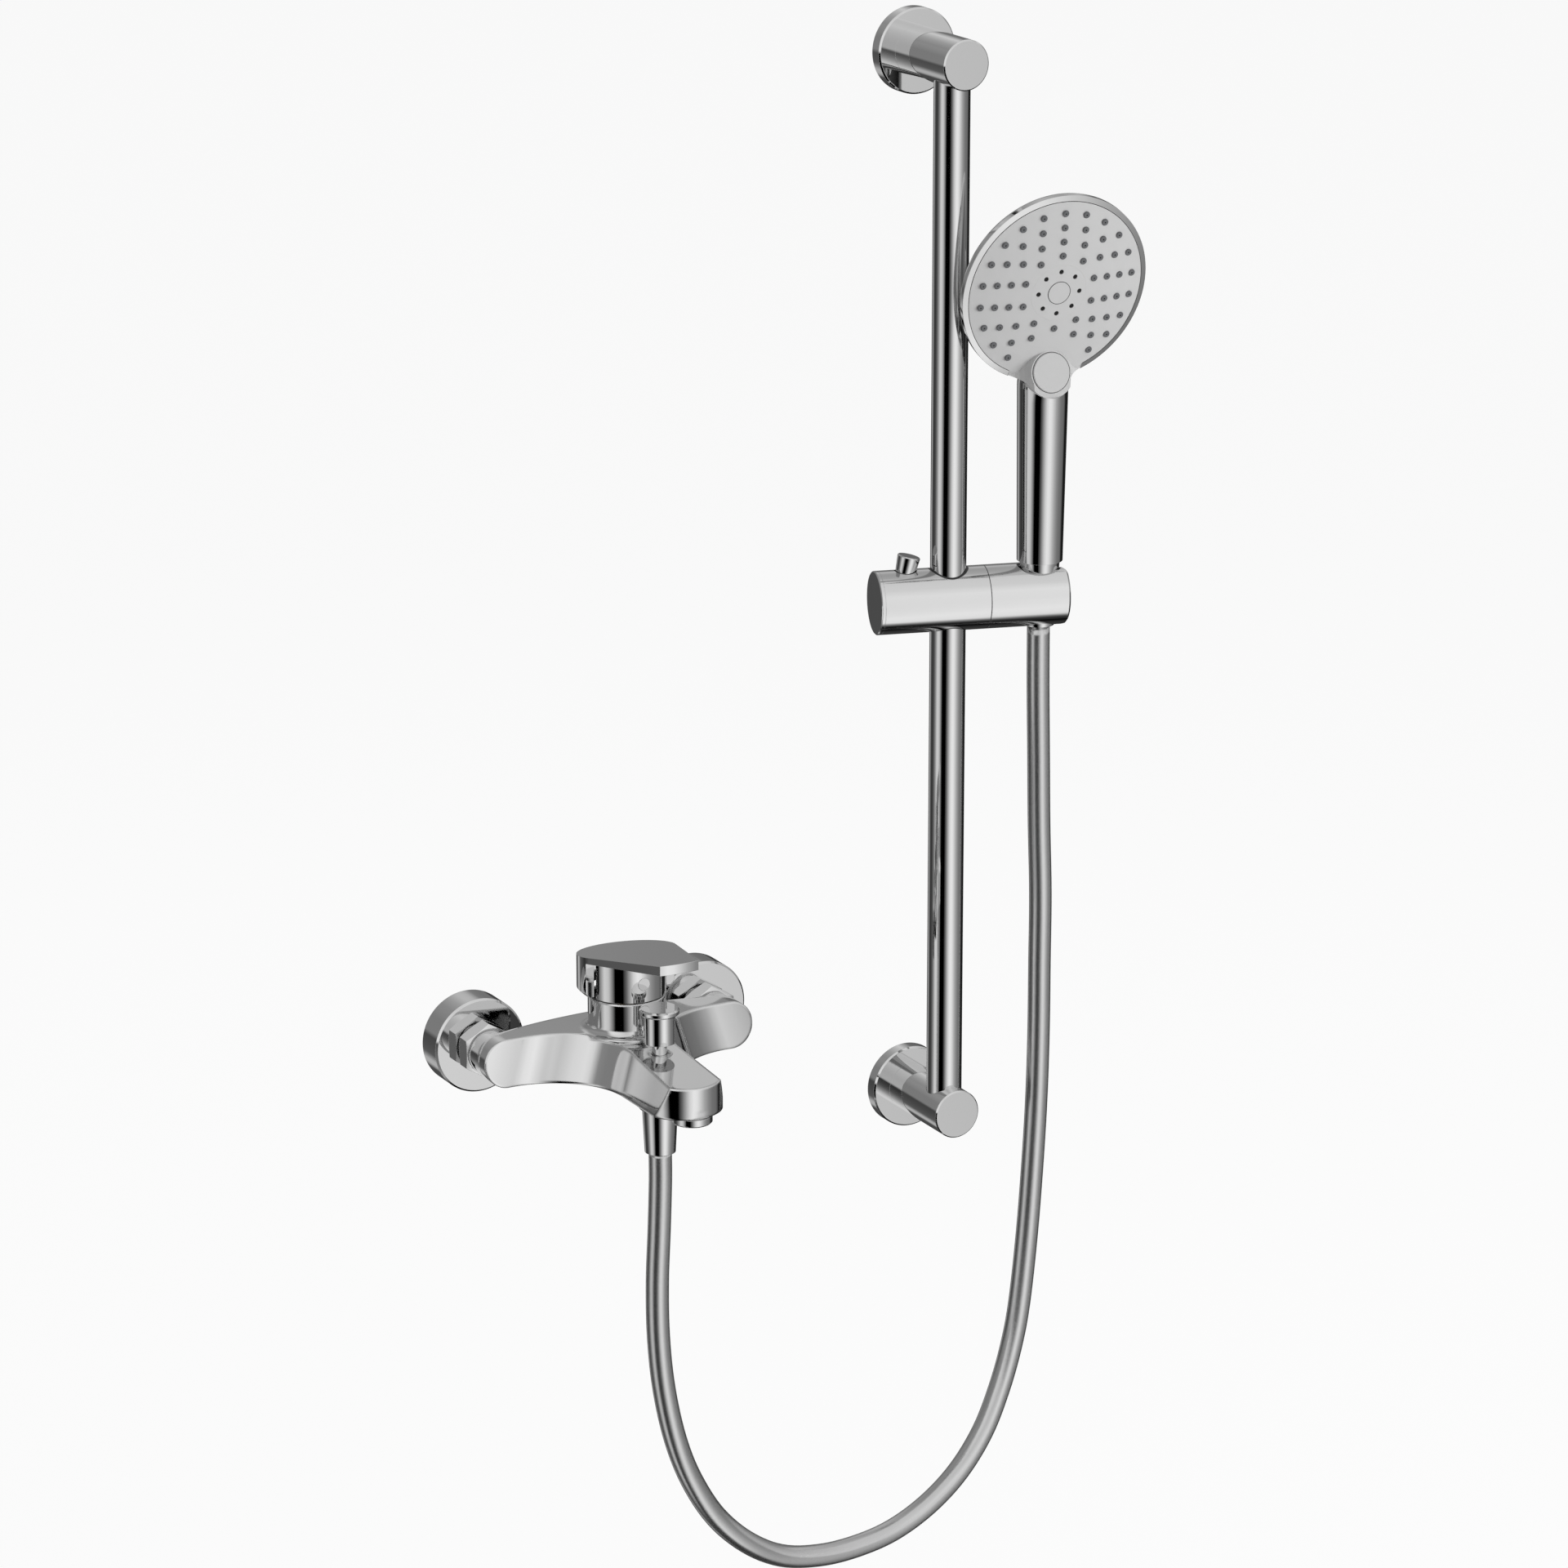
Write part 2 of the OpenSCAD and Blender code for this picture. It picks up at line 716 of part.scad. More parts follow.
// The space in front of one arm and beside the spout
module sweep_cut() {
    rise = 2 * arm_r;
    translate([spout_half, -arm_front, arm_r]) rotate([0, -spout_draft, 0]) rotate([-arm_draft, 0, 0])
        translate([0, 0, -2 * rise]) linear_extrude(3 * rise) difference() {
            translate([0, -spout_out]) square([inlet_spacing, spout_out + arm_r]);
            translate([sweep_r, arm_bow_r]) circle(arm_bow_r);
            difference() {
                translate([-over, -sweep_r]) square([sweep_r + over, sweep_r + rise]);
                translate([sweep_r, -sweep_r]) circle(sweep_r);
            }
        }
}

module body_blank() {
    half = inlet_spacing / 2;
    deep = spout_out + over;
    difference() {
        intersection() {
            rotate([90, 0, 0]) linear_extrude(deep) union() {
                translate([-half, 0]) circle(arm_r);
                translate([half, 0]) circle(arm_r);
                translate([-half, -arm_r]) square([2 * half, 2 * arm_r]);
            }
            side_slab([[0, -arm_r], [0, arm_r], [-neck_out, arm_r], [-spout_out, spout_tip_top],
                [-spout_out, -spout_tip_low], [-neck_out, -arm_r]], 4 * half);
            translate([0, -body_back - back_bow_r, -2 * arm_r]) cylinder(r = back_bow_r, h = 4 * arm_r);
            linear_extrude(4 * arm_r, center = true) union() {
                translate([-2 * half, -sweep_out]) square([4 * half, sweep_out]);
                translate([-low_half, -spout_out + spout_tip_r])
                    square([2 * low_half, spout_out - spout_tip_r]);
                translate([0, -spout_out + spout_tip_r]) circle(spout_tip_r);
            }
        }
        sweep_cut();
        mirror([1, 0, 0]) sweep_cut();
    }
}

module mixer_body() {
    color(chrome) difference() {
        union() {
            body_blank();
            at_neck() z_rod(neck_r, 0, neck_top);
            at_neck() rotate_extrude() difference() {
                translate([neck_r - lip, arm_r - lip]) square([foot_r + lip, foot_r + lip]);
                translate([neck_r + foot_r, arm_r + foot_r]) circle(foot_r);
            }
            for (side = [-1, 1]) translate([side * inlet_spacing / 2, 0, 0])
                out_rod(collar_d / 2, collar_from, arm_front - 2 * lip);
        }
        for (side = [-1, 1]) translate([side * inlet_spacing / 2, 0, 0]) {
            out_rod(nipple_d / 2 + fit_gap, collar_from - over, nipple_to);
            out_rod(union_bore / 2, collar_from, arm_front - 2 * lip);
        }
        translate([0, -nipple_to - arm_channel_d / 2, 0])
            x_rod(arm_channel_d / 2, -inlet_spacing / 2, inlet_spacing / 2);
        at_neck() z_rod(cartridge_r + fit_gap, cartridge_low, neck_top + over);
        translate([0, 0, channel_z]) out_rod(spout_channel_d / 2, neck_out, aerator_out);
        at_diverter() {
            z_rod(tail_d / 2 + fit_gap, -arm_r - over, outlet_top);
            z_rod(chamber_d / 2, outlet_top - over, bush_top - bush_h);
            z_rod(bush_d / 2 + fit_gap, bush_top - bush_h, arm_r + over);
        }
        at_aerator() {
            z_rod(aerator_thread_d / 2 + fit_gap, -arm_r - over, aerator_seat);
            z_rod(aerator_thread_d / 2 - lip, aerator_seat - over, channel_z);
        }
    }
}

// Cartridge under the lever

module cartridge_housing() {
    port_r = 3.5;
    color(plastic) at_neck() difference() {
        union() {
            z_rod(cartridge_r, cartridge_low, cartridge_shoulder);
            z_rod(cartridge_collar_d / 2, cartridge_shoulder, turret_top - lip);
        }
        z_rod(turret_r + run_gap, disc_low, turret_top + over);
        for (turn = [0, 120, 240]) rotate([0, 0, turn]) translate([turret_r / 2, 0, 0])
            z_rod(port_r, cartridge_low - over, disc_low + over);
    }
}

module cartridge_lock_nut() {
    key_w = 4;
    high = cartridge_shoulder + lock_nut_h;
    color(brass) at_neck() difference() {
        z_ring(cartridge_collar_d / 2 + fit_gap, cartridge_r, cartridge_shoulder, high);
        for (turn = [0, 90]) rotate([0, 0, turn])
            translate([-cartridge_d, -key_w / 2, high - lip]) cube([2 * cartridge_d, key_w, lip + over]);
    }
}

module ceramic_seat_disc() {
    port_r = 3;
    color(ceramic) at_neck() difference() {
        z_rod(turret_r, disc_low, disc_low + disc_t);
        for (turn = [0, 120, 240]) rotate([0, 0, turn]) translate([turret_r / 2, 0, 0])
            z_rod(port_r, disc_low - over, disc_low + disc_t + over);
    }
}

module ceramic_control_disc() {
    port_r = 4;
    color(ceramic) at_neck() difference() {
        z_rod(turret_r, control_low, turret_low);
        translate([0, port_r / 2, 0]) z_rod(port_r, control_low - over, control_low + disc_t / 2);
    }
}

module cartridge_turret() {
    wide = spindle_w + 4 * run_gap;
    swing = spindle_w / 2 + lip;
    back = swing + (turret_top - pivot_z) * tan(lever_lift);
    front = swing + spindle_drop * tan(lever_lift);
    floor_z = pivot_z - spindle_drop - lip;
    color(plastic) at_neck() difference() {
        z_rod(turret_r, turret_low, turret_top);
        translate([-wide / 2, -swing, pivot_z - over])
            cube([wide, swing + back, turret_top - pivot_z + 2 * over]);
        translate([-wide / 2, -front, floor_z]) cube([wide, front + swing, pivot_z - floor_z]);
        translate([0, 0, pivot_z]) x_rod(pivot_d / 2 + fit_gap, -turret_d, turret_d);
    }
}

module spindle_pin() {
    reach = turret_r - lip;
    color(steel) at_neck() translate([0, 0, pivot_z]) x_rod(pivot_d / 2, -reach, reach);
}

module lever_spindle() {
    low = pivot_z - spindle_drop;
    color(brass) at_neck() difference() {
        translate([-spindle_w / 2, -spindle_w / 2, low]) cube([spindle_w, spindle_w, spindle_top - low]);
        translate([0, 0, pivot_z]) x_rod(pivot_d / 2 + run_gap, -spindle_w, spindle_w);
    }
}

// Lever with a rear hood that drops behind the neck as the tip is lifted

module lever_plan() {
    side = [hood_r * cos(tangent_at), hood_r * sin(tangent_at)];
    tip_r = 1.8 * lever_tip_w;
    far = tip_y + (tip_y - side[1]) / 4;
    far_x = tip_x + (tip_x - side[0]) / 4;
    circle(hood_r);
    intersection() {
        polygon([side, [far_x, far], [-far_x, far], [-side[0], side[1]]]);
        translate([0, tip_r - lever_reach]) circle(tip_r);
    }
}

module lever() {
    tall = lever_top + lever_reach;
    rear = hood_r + over;
    front = lever_reach + over;
    inner_r = neck_r + 3 * face_gap;
    color(chrome) at_neck() difference() {
        intersection() {
            union() {
                intersection() {
                    linear_extrude(tall) lever_plan();
                    side_slab([[rear, tall], [rear, lever_top_at(rear) - lever_rear_t],
                        [-front, lever_top_at(-front) - lever_tip_t], [-front, tall]], 4 * hood_r);
                }
                intersection() {
                    union() {
                        z_rod(hood_r - hood_chamfer, hood_low, hood_low + hood_chamfer, hood_r);
                        z_rod(hood_r, hood_low + hood_chamfer, tall);
                    }
                    translate([-2 * hood_r, hood_face, 0]) cube([4 * hood_r, 2 * hood_r, tall]);
                }
                z_rod(barrel_r, lever_hollow_top - lip, lever_top);
                intersection() {
                    z_rod(barrel_r, barrel_low, lever_top);
                    translate([-2 * hood_r, -2 * hood_r, 0])
                        cube([4 * hood_r, 2 * hood_r + hood_face + lip, tall]);
                }
            }
            side_slab([[rear, 0], [rear, lever_top_at(rear)], [-front, lever_top_at(-front)],
                [-front, 0]], 4 * hood_r);
        }
        difference() {
            union() {
                z_rod(barrel_r - barrel_wall, 0, lever_hollow_top);
                intersection() {
                    z_rod(inner_r, 0, lever_hollow_top);
                    translate([-2 * hood_r, hood_face, -over])
                        cube([4 * hood_r, 2 * hood_r, lever_hollow_top + 2 * over]);
                }
            }
            z_rod(boss_d / 2, boss_low, lever_hollow_top + over);
        }
        translate([0, 0, boss_low - over]) linear_extrude(spindle_top + fit_gap - boss_low + over)
            square(spindle_w + 2 * fit_gap, center = true);
        translate([0, 0, plug_z]) {
            out_rod(grub_d / 2 + fit_gap, 0, boss_d);
            out_rod(plug_d / 2 + fit_gap, barrel_r - 2 * barrel_wall, barrel_r + over);
        }
    }
}

module lever_screw() {
    color(steel) at_neck() translate([0, 0, plug_z])
        out_rod(grub_d / 2, spindle_w / 2 + fit_gap, boss_d / 2 - fit_gap);
}

module lever_plug() {
    color(chrome) at_neck() translate([0, 0, plug_z])
        out_rod(plug_d / 2, barrel_r - 1.5 * barrel_wall, barrel_r);
}

// Diverter

module diverter_bush() {
    color(chrome) at_diverter() z_ring(rod_d / 2 + run_gap, bush_d / 2, bush_top - bush_h, bush_top);
}

module diverter_knob() {
    rim = 1;
    r = knob_head_d / 2;
    screw_deep = (knob_grip_top - knob_low) / 2;
    color(chrome) at_diverter() difference() {
        union() {
            z_rod(knob_d / 2, knob_low, knob_grip_top);
            z_rod(r - rim, knob_grip_top, knob_grip_top + rim, r);
            z_rod(r, knob_grip_top + rim, knob_top - rim);
            z_rod(r, knob_top - rim, knob_top, r - rim);
        }
        z_rod(rod_d / 2 - rim + fit_gap, knob_low - over, knob_low + screw_deep);
    }
}

module diverter_rod() {
    step = 1;
    screw_deep = (knob_grip_top - knob_low) / 2;
    color(chrome) at_diverter() {
        z_rod(valve_d / 2, valve_low, valve_low + valve_t);
        z_rod(rod_d / 2, valve_low + valve_t, knob_low);
        z_rod(rod_d / 2 - step, knob_low, knob_low + screw_deep - fit_gap);
    }
}

module diverter_seal() {
    color(rubber) at_diverter() z_rod(valve_d / 2 - fit_gap, valve_low - seal_t, valve_low);
}

// Aerator under the spout tip

module aerator_ring() {
    low = aerator_top - aerator_drop + face_gap;
    edge = 0.8;
    r = aerator_d / 2;
    color(chrome) at_aerator() difference() {
        union() {
            z_rod(r - edge, low, low + edge, r);
            z_rod(r, low + edge, aerator_top);
            z_rod(aerator_thread_d / 2, aerator_top, aerator_seat - washer_t);
        }
        z_rod(r - aerator_wall, low - over, aerator_top - aerator_wall);
        z_rod(aerator_thread_d / 2 - lip, low, aerator_seat + over);
    }
}

module aerator_insert() {
    low = aerator_top - aerator_drop + face_gap + edge_t;
    color(plastic) at_aerator() difference() {
        z_rod(aerator_d / 2 - aerator_wall - fit_gap, low, aerator_top - aerator_wall - fit_gap);
        for (ring_no = [1 : 2], k = [0 : 6 * ring_no - 1]) rotate([0, 0, k * 60 / ring_no])
            translate([ring_no * aerator_step, 0, 0])
                z_rod(aerator_hole_d / 2, low - over, aerator_top + over);
    }
}

module aerator_seal() {
    color(rubber) at_aerator() z_ring(aerator_thread_d / 2 - lip, aerator_thread_d / 2,
        aerator_seat - washer_t, aerator_seat);
}

// Shower outlet and hose

module outlet_nipple() {
    color(brass) at_diverter() z_ring(outlet_bore / 2, tail_d / 2, outlet_low, outlet_top);
}

module hose_nut_lower() {
    high = spout_low_at(diverter_out) - edge_t;
    wide_low = outlet_low - washer_t - face_gap;
    mid_d = (hose_nut_d + hose_nut_low_d) / 2 - face_gap;
    color(chrome) at_diverter() difference() {
        union() {
            z_rod(hose_nut_d / 2, wide_low, high);
            z_rod(hose_nut_low_d / 2, -hose_nut_low, wide_low, mid_d / 2);
        }
        z_rod(tail_d / 2 + fit_gap, outlet_low - washer_t, high + over);
        z_rod(outlet_bore / 2, -hose_nut_low - over, high);
    }
}

module hose_washer_lower() {
    color(rubber) at_diverter() z_ring(outlet_bore / 2, tail_d / 2, outlet_low - washer_t, outlet_low);
}

module hose() {
    color(satin) tube(hose_points, hose_d / 2);
}

module hose_nut_upper() {
    low_r = seat_r(cone_nut_low) - seat_play;
    high_r = seat_r(cone_nut_high) - seat_play;
    color(chrome) at_handset() difference() {
        z_rod(low_r, cone_nut_low, cone_nut_high, high_r);
        z_rod(tail_d / 2 - lip / 2 + fit_gap, tail_low - washer_t, cone_nut_high + over);
        z_rod(outlet_bore / 2, cone_nut_low - over, cone_nut_high);
    }
}

module hose_washer_upper() {
    color(rubber) at_handset() z_ring(outlet_bore / 2, tail_d / 2 - lip, tail_low - washer_t, tail_low);
}

// Rail and its brackets

module rail_tube() {
    color(chrome) at_rail() z_ring(rail_r - rail_wall, rail_r, rail_low, rail_high);
}

module rail_plugs() {
    r = rail_r - rail_wall - fit_gap;
    color(plastic) at_rail() {
        z_rod(r, rail_low, rail_low + rail_plug);
        z_rod(r, rail_high - rail_plug, rail_high);
    }
}

module flange() {
    edge = 1;
    r = flange_d / 2;
    color(chrome) difference() {
        union() {
            out_rod(r, 0, flange_h - edge);
            out_rod(r, flange_h - edge, flange_h, r - edge);
        }
        out_rod(r - cup_wall, -over, flange_h - cup_wall);
        out_rod(plate_boss_d / 2 + fit_gap, -over, flange_h + over);
    }
}

// Post whose blind hole takes one end of the rail; side is where the rail leaves
module post(side) {
    edge = 0.8;
    color(chrome) difference() {
        union() {
            out_rod(post_r, flange_h, post_out - edge);
            out_rod(post_r, post_out - edge, post_out, post_r - edge);
        }
        out_rod(plate_boss_d / 2 + fit_gap, flange_h - over, plate_boss_out + fit_gap);
        translate([0, -rail_out, 0]) mirror([0, 0, side < 0 ? 1 : 0])
            z_rod(rail_r + fit_gap, post_r - rail_seat - fit_gap, post_r + over);
        translate([0, -grub_out, 0]) z_rod(grub_d / 2 + fit_gap, -post_r - over, 0);
    }
}

module wall_plate() {
    difference() {
        union() {
            out_rod(plate_d / 2, 0, plate_t);
            out_rod(plate_boss_d / 2, plate_t, plate_boss_out);
        }
        out_rod(wall_hole_d / 2, -over, plate_boss_out + over);
    }
}

module upper_flange() at_bracket(upper_z) flange();
module lower_flange() at_bracket(lower_z) flange();
module upper_post() at_bracket(upper_z) post(-1);
module lower_post() at_bracket(lower_z) post(1);
module wall_plates() {
    color(steel) for (z = [lower_z, upper_z]) at_bracket(z) wall_plate();
}
module bracket_grub_screws() {
    color(steel) for (z = [lower_z, upper_z]) at_bracket(z) translate([0, -grub_out, 0])
        z_rod(grub_d / 2, -post_r + edge_t, -plate_boss_d / 2 - fit_gap);
}

// Slider on the rail

module slider_bush() {
    color(acetal) at_slider() intersection() {
        z_ring(rail_r + run_gap, liner_r, -slider_r, slider_r);
        x_rod(slider_r - fit_gap, -slider_r, slider_r);
    }
}

module slider_body() {
    color(chrome) difference() {
        at_slider() x_rod(slider_r, clamp_left, clamp_right);
        at_slider() z_rod(liner_r + run_gap, -slider_d, slider_d);
        at_slider() x_rod(brake_r, clamp_left - over, 0);
        at_slider() x_rod(axle_r + fit_gap, axle_left, clamp_right + over);
        at_button() z_rod(stem_r + run_gap, 0, slider_d);
        at_button() z_rod(button_low_d / 2 + 2 * face_gap, button_floor, slider_d);
    }
}

module slider_end_cap() {
    rim = 0.6;
    color(chrome) at_slider() {
        x_rod(slider_r - rim, -slider_left, -slider_left + rim, slider_r);
        x_rod(slider_r, -slider_left + rim, clamp_left);
        x_rod(brake_r - fit_gap, clamp_left, clamp_left + spigot);
    }
}

module slider_button() {
    edge = 0.5;
    slip = stem_r + stem_tip;
    color(chrome) at_button() {
        z_rod(button_low_d / 2, button_foot, button_top - edge, button_d / 2);
        z_rod(button_d / 2, button_top - edge, button_top, button_d / 2 - edge);
        difference() {
            z_rod(stem_r, stem_tip, button_foot);
            rotate([90, 0, 0]) linear_extrude(button_d, center = true)
                polygon([[-slip, stem_tip - over], [-slip, stem_tip + slip], [0, stem_tip],
                    [0, stem_tip - over]]);
        }
    }
}

module slider_button_spring() {
    color(steel) at_button()
        z_ring(stem_r + face_gap, button_low_d / 2 - face_gap, button_floor, button_foot);
}

module brake_shoe() {
    room = stem_r + button_travel + 2 * face_gap;
    floor_z = stem_tip - button_travel - 2 * face_gap;
    slant = stem_tip - 1.25 * face_gap;
    color(rubber) difference() {
        at_slider() x_rod(brake_r - run_gap, shoe_left, shoe_right + liner_r);
        at_slider() z_rod(liner_r + run_gap, -slider_d, slider_d);
        at_button() rotate([90, 0, 0]) linear_extrude(button_stem_d + 2 * face_gap, center = true)
            polygon([[-stem_r - face_gap, slider_r], [-stem_r - face_gap, slant + stem_r + face_gap],
                [slant - floor_z, floor_z], [room, floor_z], [room, slider_r]]);
    }
}

module brake_spring() {
    coil_r = brake_r - lip;
    color(steel) at_slider() difference() {
        x_rod(coil_r, clamp_left + spigot, shoe_left);
        x_rod(coil_r - lip, clamp_left, shoe_left + over);
    }
}

// Holder that turns on the slider's right end

module holder_axle() {
    color(steel) at_slider() difference() {
        x_rod(axle_r, axle_left, axle_right);
        x_rod(axle_head_d / 4 + fit_gap, axle_left - over, axle_right + over);
    }
}

module holder_screw() {
    head_h = 3;
    color(steel) at_slider() {
        x_rod(axle_head_d / 4, axle_left, axle_right);
        x_rod(axle_head_d / 2, axle_right, axle_right + head_h);
    }
}

module friction_washer() {
    color(steel) at_slider() difference() {
        x_rod(friction_r, clamp_right, clamp_right + friction_t);
        x_rod(axle_r + fit_gap, clamp_right - over, clamp_right + friction_t + over);
    }
}

module holder() {
    edge = 1.2;
    tall = slider_d + 2 * over;
    mouth = slot_mouth_w / 2;
    flare = mouth - slot_w / 2;
    color(chrome) at_holder() difference() {
        union() {
            x_rod(slider_r, holder_left, holder_right - edge);
            x_rod(slider_r, holder_right - edge, holder_right, slider_r - edge);
        }
        translate([handset_x, 0, 0]) z_rod(seat_r(-slider_r - over), -slider_r - over,
            slider_r + over, seat_r(slider_r + over));
        translate([handset_x, -slot_w / 2, -tall / 2]) cube([slider_d, slot_w, tall]);
        translate([holder_right, 0, 0]) linear_extrude(tall, center = true)
            polygon([[-flare, -slot_w / 2], [0, -mouth], [over, -mouth], [over, mouth], [0, mouth],
                [-flare, slot_w / 2]]);
        x_rod(axle_r + run_gap, 0, axle_right + face_gap);
        x_rod(axle_head_d / 2 + face_gap, axle_right, handset_x);
        x_rod(friction_r + face_gap, 0, clamp_right + friction_t + face_gap / 2);
    }
}

// Hand shower

module handset_tail() {
    color(brass) at_handset() difference() {
        union() {
            z_rod(tail_d / 2 - lip / 2, tail_low, handle_low);
            z_rod(handle_bore / 2 - fit_gap, handle_low, handle_low + handle_bore);
        }
        z_rod(outlet_bore / 2 - lip / 2, tail_low - over, handle_low + handle_bore + over);
    }
}

// Back of the head as an outline about the face axis, drawn in by a wall
function head_outline(wall) = [for (i = [0 : round_steps]) let (a = i * 90 / round_steps)
    [back_r + (head_r - wall - back_r) * sin(a),
     -head_side - (head_depth - wall - head_side) * cos(a)]];

// The space inside the head's wall
module head_inside(wall) {
    at_face() rotate_extrude()
        polygon(concat([[0, ring_low], [0, wall - head_depth]], head_outline(wall),
            [[head_r - wall, ring_low]]));
}

module handset_shell() {
    rim_z = -face_edge - edge_t - fit_gap;
    ball_r = handle_top_d / 2 - lip;
    color(chrome) at_handset() difference() {
        union() {
            z_rod(handle_low_d / 2, handle_low, handle_top, handle_top_d / 2);
            hull() {
                translate([0, 0, handle_top]) cylinder(r = handle_top_d / 2, h = lip, $fn = 64);
                at_face() translate([0, 0, -head_side - lip]) sphere(ball_r, $fn = 32);
            }
            at_face() rotate_extrude()
                polygon(concat([[0, rim_z], [0, -head_depth]], head_outline(0),
                    [[head_r, -face_edge], [bevel_from, crown(bevel_from)], [bevel_from, rim_z]]));
            at_lobe() z_rod(lobe_r, -lobe_depth, -lobe_t - fit_gap);
        }
        head_inside(head_wall);
        at_face() z_rod(bevel_from + fit_gap, ring_low - over, lobe_d);
        intersection() {
            at_face() z_rod(head_r + over, rim_z, lobe_d);
            at_lobe() z_rod(flare_r + fit_gap, -lobe_d, lobe_d);
        }
        at_lobe() z_rod(lobe_r + fit_gap, -lobe_t - fit_gap, lobe_depth);
        at_lobe() z_rod(cup_r + fit_gap, -cup_depth - fit_gap, 0);
        z_rod(handle_bore / 2, handle_low - over, lobe_up - lobe_r - lip);
        translate([0, water_back, 0]) z_rod(water_r, lobe_up - lobe_d, lobe_up + lobe_r);
    }
}

// Grey face whose tongue runs down over the front of the handle
module handset_face() {
    inner = [for (i = [crown_steps : -1 : 0]) [crown_radii[i], crown(crown_radii[i]) - face_t]];
    middle = [for (r = crown_radii) [r, crown(r) - face_t / 2]];
    outer = [for (r = crown_radii) [r, crown(r)]];
    low = -face_edge - edge_t;
    flare = [for (i = [0 : flare_steps]) let (u = i / flare_steps)
        [flare_from + flare_run * u, -flare_drop * (1 - (1 - u) * (1 - u) * (1 - u))]];
    color(plastic) at_handset() difference() {
        union() {
            at_face() rotate_extrude() polygon(concat(outer, inner));
            intersection() {
                at_face() rotate_extrude() polygon([[bevel_from - lip, low],
                    [bevel_from - lip, crown(bevel_from) - edge_t], [bevel_from, crown(bevel_from)],
                    [face_r, -face_edge], [face_r, low]]);
                at_lobe() z_rod(flare_r, -lobe_d, lobe_d);
            }
            at_lobe() intersection() {
                z_rod(lobe_r, -lobe_t, 0);
                translate([0, -lobe_r, 0]) rotate([90, 0, 0]) linear_extrude(lobe_d, center = true)
                    polygon([[-lobe_r - over, -lobe_t], [-flat_half, 0], [flat_half, 0],
                        [lobe_r + over, -lobe_t]]);
            }
            at_lobe() z_rod(cup_r, -cup_depth, -lobe_t + over);
            intersection() {
                at_lobe() rotate_extrude()
                    polygon(concat([[0, -lobe_depth], [0, 0]], flare,
                        [[flare_r, -lobe_depth]]));
                at_face() rotate_extrude()
                    polygon(concat(middle, [[face_r, low + edge_t / 2], [face_r, lobe_r],
                        [crown_radii[0], lobe_r]]));
            }
        }
        at_lobe() z_rod(spray_r + run_gap, -ledge_depth, lobe_depth);
        at_lobe() z_rod(spray_r - lip, -lobe_d, 0);
        at_face() for (n = nozzles) translate([n[0], n[1], 0])
            z_rod(nozzle_d / 2 + fit_gap, crown(n[2]) - face_t - over, crown(n[2]) + over);
    }
}

module nozzle_mat() {
    top = [for (r = crown_radii) [r, crown(r) - face_t - fit_gap]];
    low = [for (i = [crown_steps : -1 : 0])
        [crown_radii[i], crown(crown_radii[i]) - face_t - mat_t]];
    color(rubber) at_handset() {
        difference() {
            at_face() rotate_extrude() polygon(concat(top, low));
            at_lobe() z_rod(lobe_r + lip, -lobe_d, lobe_d);
        }
        at_face() for (n = nozzles) translate([n[0], n[1], 0])
            z_rod(nozzle_d / 2, crown(n[2]) - face_t - mat_t / 2, crown(n[2]) + nozzle_out);
    }
}

module jet_insert() {
    insert_low = -face_t - crown_drop;
    top = [for (i = [crown_steps : -1 : 0])
        let (r = i * jet_insert_d / 2 / crown_steps) [r, crown(r)]];
    color(plastic) at_handset() at_face() difference() {
        rotate_extrude() polygon(concat([[0, insert_low], [jet_insert_d / 2, insert_low]], top));
        for (k = [0 : jet_count - 1]) rotate([0, 0, k * 360 / jet_count]) translate([0, jet_ring_r, 0])
            z_rod(jet_d / 2, -face_t - face_edge, over);
        z_rod(cap_d / 2 + fit_gap, cap_low, over);
    }
}

module centre_cap() {
    color(plastic) at_handset() at_face() z_rod(cap_d / 2, cap_low, -crown_drop);
}

// Distributor that shares the water among the nozzles
module spray_plate() {
    hole_r = 2;
    color(plastic) at_handset() difference() {
        intersection() {
            at_face() z_rod(head_r, plate_high - edge_t, plate_high);
            head_inside(head_wall + fit_gap);
        }
        at_lobe() z_rod(lobe_r + lip, -lobe_d, lobe_d);
        for (k = [0 : jet_count - 1]) at_face() rotate([0, 0, k * 360 / jet_count])
            translate([0, nozzle_ring_r, 0]) z_rod(hole_r, plate_high - lobe_r, 0);
    }
}

module spray_button() {
    edge = 0.6;
    proud = 0.6;
    color(plastic) at_handset() at_lobe() {
        z_rod(spray_r, -button_t, proud - edge);
        z_rod(spray_r, proud - edge, proud, spray_r - edge);
    }
}

module spray_button_spring() {
    color(steel) at_handset() at_lobe()
        z_ring(spray_r - lip + face_gap, spray_r - face_gap, -ledge_depth, -button_t);
}

mixer_body();
left_rosette();
right_rosette();
left_wall_union();
right_wall_union();
left_union_nut();
right_union_nut();
inlet_nipples();
inlet_washers();
cartridge_housing();
cartridge_lock_nut();
ceramic_seat_disc();
ceramic_control_disc();
cartridge_turret();
spindle_pin();
lever_spindle();
lever();
lever_screw();
lever_plug();
diverter_bush();
diverter_knob();
diverter_rod();
diverter_seal();
aerator_ring();
aerator_insert();
aerator_seal();
outlet_nipple();
hose_nut_lower();
hose_washer_lower();
hose();
hose_nut_upper();
hose_washer_upper();
rail_tube();
rail_plugs();
upper_flange();
lower_flange();
upper_post();
lower_post();
wall_plates();
bracket_grub_screws();
slider_bush();
slider_body();
slider_end_cap();
slider_button();
slider_button_spring();
brake_shoe();
brake_spring();
holder_axle();
holder_screw();
friction_washer();
holder();
handset_shell();
handset_face();
nozzle_mat();
jet_insert();
centre_cap();
spray_plate();
spray_button();
spray_button_spring();
handset_tail();
